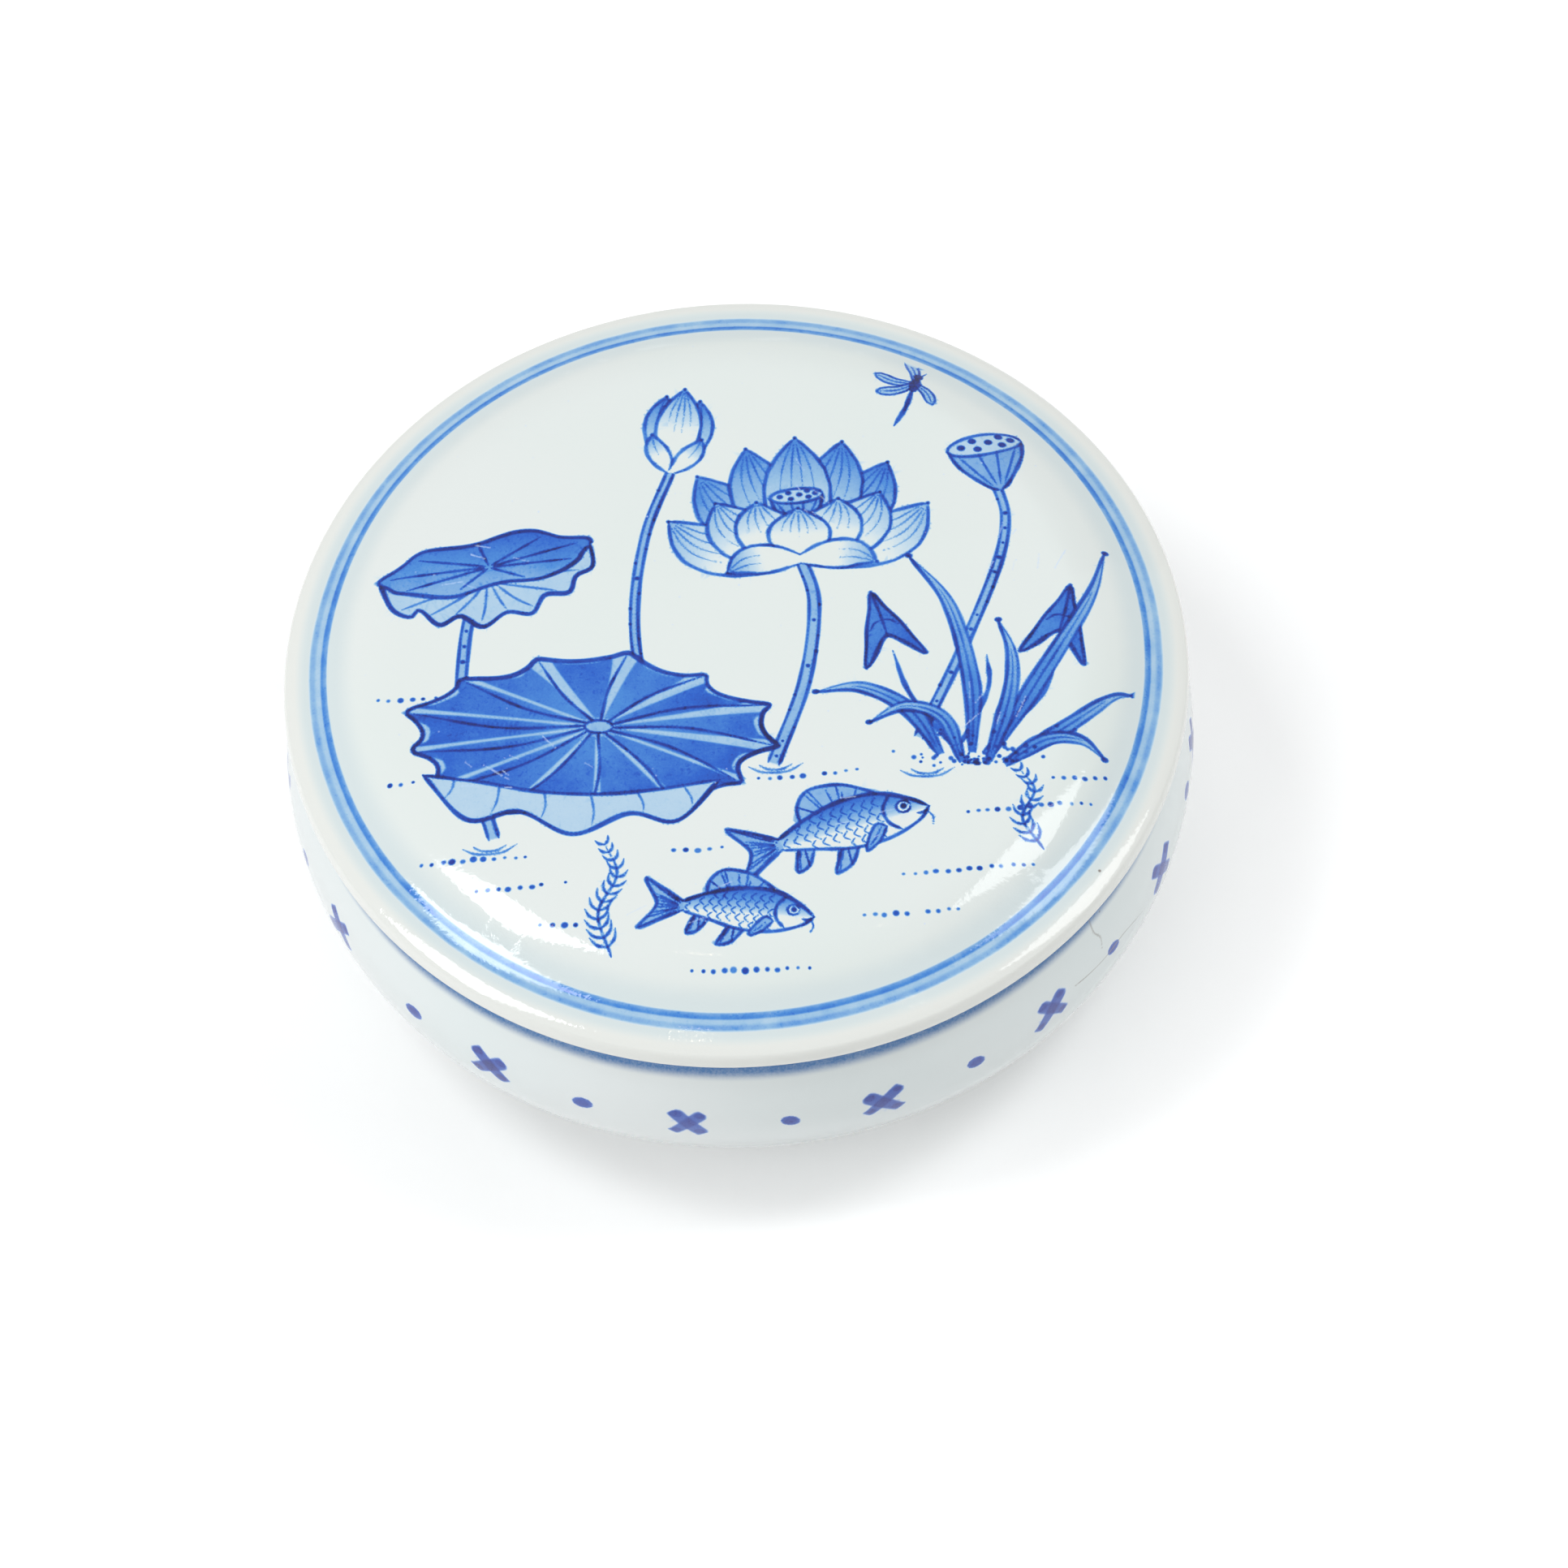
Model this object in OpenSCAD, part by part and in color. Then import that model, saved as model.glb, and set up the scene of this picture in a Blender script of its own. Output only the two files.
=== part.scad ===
// Porcelain box for seal paste: a round footed dish, a domed cover that lifts off, and the paste.
// Each piece is one outline turned about the upright axis. The origin is at the middle of the foot,
// on the table, with +Z up.

/* [Dish] */
// Diameter of the dish at its belly
dish_d = 89; // [84:0.5:96]
// Height of the dish, from the table to its rim
dish_h = 28; // [27:0.1:29]
// Radius of the curve of the side, from the underside round to the rim
side_r = 15.4; // [14.8:0.1:16.4]
// Thickness of the side
wall_t = 3.4; // [2.8:0.1:4]
// Thickness of the floor
floor_t = 3.6; // [3:0.1:4.2]
// Radius of the well's lower corner
well_corner_r = 10.5; // [8:0.5:11]
// Width of the rim that the cover rests on, edge rounding included
rim_w = 4; // [3.4:0.1:4.6]
// Rounding of the rim's outer edge
rim_edge_r = 0.8; // [0.4:0.1:1.2]
// Height of the straight neck inside the rim
neck_h = 2.2; // [1.6:0.1:3]
// Bevel at the top of the neck
neck_bevel = 0.4; // [0.2:0.1:0.8]

/* [Foot] */
// Diameter of the foot ring where it stands on the table
foot_d = 58; // [50:1:64]
// Height of the foot ring
foot_h = 3.4; // [2.8:0.1:4.2]
// Width of the foot ring where it stands on the table
foot_w = 2.6; // [2:0.1:3.4]
// Depth of the recess inside the foot ring
recess_h = 2.2; // [1.4:0.1:2.6]
// Bevel of the foot ring's two lower edges
foot_bevel = 0.5; // [0.2:0.1:0.8]
// Slope of the foot ring's two sides, from upright
foot_draft = 12; // [4:1:20]
// Size of the soft corner between the foot ring and the underside
foot_root = 1.2; // [0.6:0.1:1.8]

/* [Cover] */
// How far the cover's lip stands out past the rim
lip_over = 2.45; // [1.6:0.05:3.2]
// Radius of the lip's round edge
lip_edge_r = 1.2; // [1:0.05:1.5]
// Radius of the lip's crown, above the round edge
lip_crown_r = 5; // [4:0.1:6]
// Slope where the lip's crown runs into its round edge
lip_edge_slope = 30; // [25:1:35]
// Least slope of the top, where the lip meets the cove
lip_slope = 10; // [6:1:14]
// Radius of the cove at the foot of the dome
cove_r = 9.1; // [8:0.1:10]
// Steepest slope of the dome, where the cove meets the shoulder
dome_slope = 32; // [27:1:36]
// Radius of the dome's shoulder
shoulder_r = 12.1; // [11:0.1:14]
// Slope where the shoulder runs into the crown
crown_slope = 3; // [2:0.5:5]
// Thickness of the cover at its middle
cover_t = 3.4; // [2.8:0.1:4.2]

/* [Spigot] */
// Play between the cover's spigot and the neck of the dish, all round
spigot_play = 0.4; // [0.3:0.05:0.8]
// Depth of the spigot below the rim
spigot_h = 3.4; // [2.6:0.1:4.2]
// Width of the spigot
spigot_w = 2.4; // [2:0.1:3]
// Bevel of the spigot's lower edges
spigot_bevel = 0.6; // [0.3:0.1:0.9]
// Rounding inside, where the spigot meets the dome
spigot_root_r = 1.8; // [1:0.1:2.4]

/* [Seal paste] */
// Height of the paste above the floor of the well, at its side
paste_h = 11; // [8:0.5:13]
// Rise of the mound of paste above its side
paste_rise = 5; // [3:0.5:6]
// Clearance between the paste and the side of the well
paste_gap = 0.3; // [0.2:0.05:0.5]
// Rounding of the mound's edge
paste_edge_r = 2; // [1:0.25:3]
// How far the paste's flat base keeps inside the curve of the well's corner
paste_foot = 1; // [0.5:0.5:3]

/* [Hidden] */
$fn = 180;
// The straight steps along a round stretch stay this close to the true curve
sag = 0.004;
porcelain = [0.9, 0.92, 0.91];
cinnabar = [0.75, 0.1, 0.07];

// The side is an arc about this point, and the inner side and the belly are level with it
side_c = [dish_d / 2 - side_r, foot_h + side_r];
rim_out_r = side_c[0] + reach(side_r, dish_h - side_c[1]);
neck_r = rim_out_r - rim_w;
rim_edge_c = round_end(side_c, side_r, rim_edge_r, dish_h - rim_edge_r);
floor_z = foot_h + floor_t;
well_r = dish_d / 2 - wall_t;
well_side_r = side_r - wall_t;
well_corner_c = [well_r - well_corner_r, floor_z + well_corner_r];
neck_foot = meet_arc([neck_r, dish_h - neck_h], -45, side_c, well_side_r);

foot_out_r = foot_d / 2;
foot_in_r = foot_out_r - foot_w;
foot_lean = tan(foot_draft);
foot_top_r = foot_out_r + foot_h * foot_lean;
root_out_r = foot_top_r + foot_root;
root_start = -90 + asin(max(0, root_out_r - side_c[0]) / side_r);

// The cover's top is a chain of arcs that run into each other, from the lip in to the crown
lip_c = [rim_out_r + lip_over - lip_edge_r, dish_h + lip_edge_r];
lip_crown_c = lip_c + (lip_edge_r - lip_crown_r) * along(lip_edge_slope);
cove_c = lip_crown_c + (lip_crown_r + cove_r) * along(lip_slope);
shoulder_c = cove_c - (cove_r + shoulder_r) * along(dome_slope);
crown_r = shoulder_r + shoulder_c[0] / sin(crown_slope);
crown_c = shoulder_c + (shoulder_r - crown_r) * along(crown_slope);

// The spigot below the cover's seat drops into the neck, and the hollow keeps the dome even
spigot_out_r = neck_r - spigot_play;
spigot_in_r = spigot_out_r - spigot_w;
spigot_z = dish_h - spigot_h;
hollow_r = crown_r - cover_t;
hollow_root_c = round_side(crown_c, hollow_r, spigot_root_r, spigot_in_r - spigot_root_r);

// The paste is a mound whose crown, were it not rounded, would reach the side at paste_h
paste_r = well_r - paste_gap;
mound_r = (pow(paste_r, 2) + pow(paste_rise, 2)) / (2 * paste_rise);
mound_c = [0, floor_z + paste_h + paste_rise - mound_r];
mound_edge_c = round_side(mound_c, mound_r, paste_edge_r, paste_r - paste_edge_r);

// Direction from an arc's centre to the point where it falls outwards at this slope
function along(slope) = [sin(slope), cos(slope)];

// Half the width of a circle of radius r at the distance d from its centre
function reach(r, d) = sqrt(pow(r, 2) - pow(d, 2));

// Centre of a rounding of radius e inside a circle (c, r), at the height z or at the radius x
function round_end(c, r, e, z) = [c[0] + reach(r - e, z - c[1]), z];
function round_side(c, r, e, x) = [x, c[1] + reach(r - e, x - c[0])];

// Angle of the line from one point to another
function angle(a, b) = atan2(b[1] - a[1], b[0] - a[0]);

// Where a line from the point p, inside a circle, leaves the circle
function meet_arc(p, a, c, r) =
    let (d = [cos(a), sin(a)], q = p - c, b = q * d)
    p + d * (sqrt(b * b - q * q + r * r) - b);

// Points along a round stretch from the angle a0 to a1, in steps that keep to the sag
function arc(c, r, a0, a1) =
    let (n = max(2, ceil(abs(a1 - a0) / (2 * acos(1 - sag / r)))))
    [for (i = [0:n]) c + r * [cos(a0 + (a1 - a0) * i / n), sin(a0 + (a1 - a0) * i / n)]];

// Points of a soft corner that leaves a for b and bends to c
function soft_corner(a, b, c, n = 6) =
    [for (i = [0:n]) let (t = i / n) a * pow(1 - t, 2) + 2 * b * t * (1 - t) + c * t * t];

// Foot ring with its recess, from the axis out to where the side begins
function foot_points() = concat(
    [
        [0, recess_h],
        [foot_in_r - (recess_h - foot_bevel) * foot_lean, recess_h],
        [foot_in_r, foot_bevel],
        [foot_in_r + foot_bevel, 0],
        [foot_out_r - foot_bevel, 0],
        [foot_out_r, foot_bevel]
    ],
    soft_corner(
        [foot_top_r - foot_root * foot_lean, foot_h - foot_root],
        [foot_top_r, foot_h],
        side_c + side_r * [cos(root_start), sin(root_start)]
    )
);

// Inside of the dish, from the neck down to the axis
function well_points() = concat(
    [[neck_r + neck_bevel, dish_h], [neck_r, dish_h - neck_bevel], [neck_r, dish_h - neck_h]],
    arc(side_c, well_side_r, angle(side_c, neck_foot), 0),
    arc(well_corner_c, well_corner_r, 0, -90),
    [[0, floor_z]]
);

module dish() {
    rim_turn = angle(side_c, rim_edge_c);
    color(porcelain) rotate_extrude() polygon(concat(
        foot_points(),
        arc(side_c, side_r, root_start, rim_turn),
        arc(rim_edge_c, rim_edge_r, rim_turn, 90),
        well_points()
    ));
}

// Top of the cover, from its middle out over the dome and cove and round the lip to the seat
function cover_top_points() = concat(
    arc(crown_c, crown_r, 90, 90 - crown_slope),
    arc(shoulder_c, shoulder_r, 90 - crown_slope, 90 - dome_slope),
    arc(cove_c, cove_r, 270 - dome_slope, 270 - lip_slope),
    arc(lip_crown_c, lip_crown_r, 90 - lip_slope, 90 - lip_edge_slope),
    arc(lip_c, lip_edge_r, 90 - lip_edge_slope, -90)
);

// Underside of the cover, from the seat in over the spigot and up to the middle of the hollow
function cover_under_points() =
    let (root_turn = angle(crown_c, hollow_root_c))
    concat(
        [
            [spigot_out_r, dish_h],
            [spigot_out_r, spigot_z + spigot_bevel],
            [spigot_out_r - spigot_bevel, spigot_z],
            [spigot_in_r + spigot_bevel, spigot_z],
            [spigot_in_r, spigot_z + spigot_bevel]
        ],
        arc(hollow_root_c, spigot_root_r, 0, root_turn),
        arc(crown_c, hollow_r, root_turn, 90)
    );

module cover() {
    color(porcelain) rotate_extrude() polygon(concat(cover_top_points(), cover_under_points()));
}

// Room for the paste: the well, less the clearance, with a flat base on the floor
function paste_room_points() = concat(
    [[0, floor_z], [well_corner_c[0] - paste_foot, floor_z]],
    arc(well_corner_c, well_corner_r - paste_gap, -90, 0),
    arc(side_c, well_side_r - paste_gap, 0, angle(side_c, neck_foot)),
    [[0, neck_foot[1]]]
);

// Everything below the mound's rounded top
function mound_points() =
    let (edge_turn = angle(mound_c, mound_edge_c))
    concat(
        [[0, 0]],
        arc(mound_c, mound_r, 90, edge_turn),
        arc(mound_edge_c, paste_edge_r, edge_turn, 0),
        [[paste_r, 0]]
    );

module seal_paste() {
    color(cinnabar) rotate_extrude() intersection() {
        polygon(paste_room_points());
        polygon(mound_points());
    }
}

dish();
cover();
seal_paste();
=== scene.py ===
import math
import random
from functools import partial

import bpy
import numpy as np
from mathutils import Matrix, Vector
from mathutils.geometry import delaunay_2d_cdt


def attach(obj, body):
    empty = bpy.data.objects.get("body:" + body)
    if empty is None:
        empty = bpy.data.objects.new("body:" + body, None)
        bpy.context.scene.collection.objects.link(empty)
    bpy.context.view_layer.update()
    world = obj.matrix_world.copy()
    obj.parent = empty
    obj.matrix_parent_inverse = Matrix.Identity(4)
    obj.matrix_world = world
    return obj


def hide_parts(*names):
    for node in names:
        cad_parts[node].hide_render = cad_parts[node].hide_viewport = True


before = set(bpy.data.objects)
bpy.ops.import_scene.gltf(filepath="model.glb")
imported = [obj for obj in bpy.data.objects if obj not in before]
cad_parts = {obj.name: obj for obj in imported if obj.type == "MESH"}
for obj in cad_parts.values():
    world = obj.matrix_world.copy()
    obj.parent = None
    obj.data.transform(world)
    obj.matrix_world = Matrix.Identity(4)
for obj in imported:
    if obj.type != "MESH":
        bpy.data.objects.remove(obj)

print("frame loaded:", ", ".join(sorted(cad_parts)))

mm = 0.001
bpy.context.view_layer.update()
columns = 288  # steps round every turned piece
chordGap = 0.004  # mm, how far a row of faces may leave the true curve
tiny = 1e-9  # mm, counts as no length


# Shader graphs: sums and products of wires add their own nodes

class Wire:
    def __init__(self, graph, socket):
        self.graph, self.socket = graph, socket

    def join(self, word, a, b):
        isVector = any(isinstance(v, Wire) and v.socket.type in ("RGBA", "VECTOR") for v in (a, b))
        kind = "ShaderNodeVectorMath" if isVector else "ShaderNodeMath"
        pair = [(v, v, v) if isVector and isinstance(v, (int, float)) else v for v in (a, b)]
        return self.graph.wire(kind, {"operation": word}, {0: pair[0], 1: pair[1]})

    def __add__(self, other):
        return self.join("ADD", self, other)

    def __radd__(self, other):
        return self.join("ADD", other, self)

    def __sub__(self, other):
        return self.join("SUBTRACT", self, other)

    def __rsub__(self, other):
        return self.join("SUBTRACT", other, self)

    def __mul__(self, other):
        return self.join("MULTIPLY", self, other)

    def __rmul__(self, other):
        return self.join("MULTIPLY", other, self)

    def __pow__(self, other):
        return self.join("POWER", self, other)


class Graph:  # the nodes of one material, or of the world
    def __init__(self, name, group=bpy.data.materials):
        self.owner = group.new(name)
        self.owner.use_nodes = True
        self.tree = self.owner.node_tree
        self.tree.nodes.clear()

    def node(self, kind, settings=None, inputs=None):
        made = self.tree.nodes.new(kind)
        for key, value in (settings or {}).items():
            if key == "stops":
                while len(made.color_ramp.elements) < len(value):
                    made.color_ramp.elements.new(0.5)
                for element, (place, colour) in zip(made.color_ramp.elements, value):
                    element.position, element.color = place, colour
            else:
                setattr(made, key, value)
        for key, value in (inputs or {}).items():
            if isinstance(value, Wire):
                self.tree.links.new(value.socket, made.inputs[key])
            else:
                made.inputs[key].default_value = value
        return made

    def wire(self, kind, settings=None, inputs=None, output=0):
        return Wire(self, self.node(kind, settings, inputs).outputs[output])

    def step(self, value, low, high):  # smooth 0 to 1 between low and high
        return self.wire("ShaderNodeMapRange", {"interpolation_type": "SMOOTHSTEP"},
                         {"Value": value, "From Min": low, "From Max": high})

    def mix(self, factor, a, b):
        return self.wire("ShaderNodeMix", {"data_type": "RGBA"}, {0: factor, 6: a, 7: b}, 2)

    def noise(self, place, scale, detail=2.0, rough=0.5):
        return self.wire("ShaderNodeTexNoise", None,
                         {"Vector": place, "Scale": scale, "Detail": detail, "Roughness": rough})

    def specks(self, place, scale, radius, share):  # a small round spot in some of the texture's cells
        cells = self.node("ShaderNodeTexVoronoi", None, {"Vector": place, "Scale": scale})
        chance = self.wire("ShaderNodeSeparateColor", None, {0: Wire(self, cells.outputs["Color"])})
        near = 1 - self.step(Wire(self, cells.outputs["Distance"]), radius * 0.5, radius)
        return near * self.step(chance, 1 - share, 1 - share + 0.01)

    def shown(self):  # 1 for the rays that show the background itself, 0 for those that light the scene
        path = self.node("ShaderNodeLightPath")
        names = ("Is Camera Ray", "Is Glossy Ray", "Is Transmission Ray")
        seen, mirrored, through = (Wire(self, path.outputs[name]) for name in names)
        return self.wire("ShaderNodeMath", {"operation": "MINIMUM"},
                         {0: seen + mirrored + through, 1: 1.0})

    def finish(self, shader, kind="ShaderNodeOutputMaterial"):
        self.node(kind, None, {"Surface": shader})
        return self.owner


def srgb(r, g, b):  # a colour as seen on screen, 0 to 255, as the linear values that nodes use
    linear = [(v / 12.92) if v <= 0.04045 else ((v + 0.055) / 1.055) ** 2.4
              for v in (r / 255, g / 255, b / 255)]
    return (*linear, 1)


# Camera: the photograph's square picture, its view down on the box, and where the box's axis falls.
# Angles are in degrees, lengths in mm, and side and axisAt in the picture's pixels; clip is in metres.

photoView = {
    "side": 1932, "elevation": 56.43, "roll": -3.84, "distance": 704.0, "pixelsPerMm": 560 / 44,
    "ringHeight": 31.0, "axisAt": (906.1, 818.5), "sensor": 36.0, "clip": (0.01, 20.0),
}


def makeCamera(v):
    tilt, roll = math.radians(v["elevation"]), math.radians(v["roll"])
    focal = v["pixelsPerMm"] * v["distance"]  # in pixels
    back = Vector((0, -math.cos(tilt), math.sin(tilt)))
    right = Vector((1, 0, 0))
    down = right.cross(back)
    level = Matrix((right, down, -back))
    turn = Matrix(((math.cos(roll), -math.sin(roll), 0), (math.sin(roll), math.cos(roll), 0), (0, 0, 1)))
    middle = v["side"] / 2
    aim = Vector(((v["axisAt"][0] - middle) / focal, (v["axisAt"][1] - middle) / focal, 1)).normalized()
    swing = Vector((0, 0, 1)).rotation_difference(aim).to_matrix()
    rows = swing @ turn @ level
    camera = bpy.data.objects.new("camera", bpy.data.cameras.new("camera"))
    camera.matrix_world = Matrix((rows[0], -rows[1], -rows[2])).transposed().to_4x4()
    camera.location = (back * v["distance"] + Vector((0, 0, v["ringHeight"]))) * mm
    camera.data.sensor_width = v["sensor"]
    camera.data.lens = focal / v["side"] * v["sensor"]
    camera.data.clip_start, camera.data.clip_end = v["clip"]
    bpy.context.scene.collection.objects.link(camera)
    bpy.context.scene.camera = camera


makeCamera(photoView)
print("camera set")


# Floor, sky and lamps

studio = {
    "floorSide": 3.0, "floorDrop": 0.00002, "floorTone": 0.8, "floorSeen": 1.0, "skyTone": 0.34,
    # each lamp: name, direction from the box, distance and size in m, turn in degrees, brightness, the
    # share of its light that reflections show, tint
    "lamps": [
        ("softboxLeft", (-0.455, 0.014, 0.89), 1.0, (0.297, 0.33), 19, 8.6, 1.0, (0.97, 0.99, 1.0)),
        ("softboxRight", (0.515, 0.092, 0.852), 1.0, (0.286, 0.33), -8, 8.6, 0.5, (0.98, 0.99, 1.0)),
        ("screenFrontLeft", (-0.75, -0.45, 0.45), 1.2, (1.2, 0.8), 0, 2.85, 0, (1.0, 1.0, 1.0)),
        ("screenFront", (0.0, -0.85, 0.5), 1.2, (1.2, 0.8), 0, 0.72, 0, (1.0, 1.0, 1.0)),
        ("screenLeft", (-0.9, 0.1, 0.4), 1.2, (1.2, 0.8), 0, 0.25, 0, (1.0, 1.0, 1.0)),
        ("screenBack", (0.0, 0.85, 0.5), 1.2, (1.2, 0.8), 0, 1.5, 0, (1.0, 1.0, 1.0)),
        ("screenRight", (0.9, 0.0, 0.4), 1.2, (1.2, 0.8), 0, 1.8, 0, (1.0, 1.0, 1.0)),
        ("smallLamp", (-0.07, 0.11, 0.99), 1.0, (0.034, 0.009), 0, 16.0, 1, (1.0, 0.8, 0.62)),
        ("smallLampRight", (0.159, 0.138, 0.977), 1.0, (0.022, 0.008), 0, 12.0, 1, (1.0, 0.8, 0.62)),
    ],
}


def makeLamp(name, source, far, size, turn, radiance, tint):
    light = bpy.data.lights.new(name, "AREA")
    light.shape = "RECTANGLE"
    light.size, light.size_y = size
    light.energy = radiance * math.pi * light.size * light.size_y
    light.color = tint
    lamp = bpy.data.objects.new(name, light)
    aim = Vector(source).normalized()
    lamp.location = aim * far + Vector((0, 0, photoView["ringHeight"] * mm))
    turned = Matrix.Rotation(math.radians(turn), 3, "Z")
    lamp.rotation_euler = (aim.to_track_quat("Z", "Y").to_matrix() @ turned).to_euler()
    bpy.context.scene.collection.objects.link(lamp)
    return lamp


def makeStudio(v):
    paper = Graph("paperFloor")
    tone = paper.shown() * (v["floorSeen"] - v["floorTone"]) + v["floorTone"]
    colour = paper.wire("ShaderNodeCombineColor", None, {0: tone, 1: tone, 2: tone})
    surface = paper.wire("ShaderNodeBsdfDiffuse", None, {"Color": colour})
    mesh = bpy.data.meshes.new("floor")
    half = v["floorSide"] / 2
    mesh.from_pydata([(-half, -half, 0), (half, -half, 0), (half, half, 0), (-half, half, 0)], [],
                     [(0, 1, 2, 3)])
    floor = bpy.data.objects.new("floor", mesh)
    floor.location.z = -v["floorDrop"]
    mesh.materials.append(paper.finish(surface))
    bpy.context.scene.collection.objects.link(floor)
    sky = Graph("sky", bpy.data.worlds)
    strength = sky.shown() * (1 - v["skyTone"]) + v["skyTone"]
    glow = sky.wire("ShaderNodeBackground", None, {"Strength": strength})
    bpy.context.scene.world = sky.finish(glow, "ShaderNodeOutputWorld")
    for name, source, far, size, turn, radiance, share, tint in v["lamps"]:
        if share > 0:
            makeLamp(name, source, far, size, turn, radiance * share, tint)
        if share < 1:
            extra = makeLamp(name + "Extra", source, far, size, turn, radiance * (1 - share), tint)
            extra.visible_glossy = False


makeStudio(studio)
bpy.context.scene.view_settings.view_transform = "Standard"
print("studio set")


# Turned shapes: an outline of arcs and lines, each sampled in rows of radius, height and normal

def stretch(centre, radius, start, end, hollow=False):  # an arc, from one angle to another
    count = max(2, math.ceil(abs(end - start) / (2 * math.degrees(math.acos(1 - chordGap / radius)))))
    sign = -1 if hollow else 1
    rows = []
    for i in range(count + 1):
        a = math.radians(start + (end - start) * i / count)
        rows.append((centre[0] + radius * math.cos(a), centre[1] + radius * math.sin(a),
                     sign * math.cos(a), sign * math.sin(a)))
    return rows


# Straight stretches from point to point, each in its count of steps. Here and in softCorner the outside is
# to the right of the way, and to its left with a hand of -1.
def chain(points, counts, hand=1):
    made = []
    for a, b, count in zip(points, points[1:], counts):
        x, y = b[0] - a[0], b[1] - a[1]
        size = hand * math.hypot(x, y)
        made.append([(a[0] + x * i / count, a[1] + y * i / count, y / size, -x / size)
                     for i in range(count + 1)])
    return made


def softCorner(a, b, c, count=6, hand=1):  # leaves a for b and bends to c
    rows = []
    for i in range(count + 1):
        t = i / count
        p = [a[k] * (1 - t) ** 2 + 2 * b[k] * t * (1 - t) + c[k] * t * t for k in (0, 1)]
        d = [(b[k] - a[k]) * (1 - t) + (c[k] - b[k]) * t for k in (0, 1)]
        size = hand * math.hypot(*d)
        rows.append((*p, d[1] / size, -d[0] / size))
    return rows


def reach(r, d):  # half the width of a circle of radius r, at the distance d from its centre
    return math.sqrt(r * r - d * d)


def turnTo(a, b):
    return math.degrees(math.atan2(b[1] - a[1], b[0] - a[0]))


def around(r, z, turn):  # a turn of 0 is at the front
    return (r * math.sin(turn), -r * math.cos(turn), z)


# The mesh below a painting: gaps between its points, in mm, and the rounds in which an edge that is longer
# than longEdge, and along which the pigment changes by more than change, is halved
paintMesh = {
    "minGap": 0.08, "borderGap": 0.3, "gridGap": 0.5, "merge": 1e-7,
    "rounds": 4, "change": 0.1, "longEdge": 0.24,
}


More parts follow.
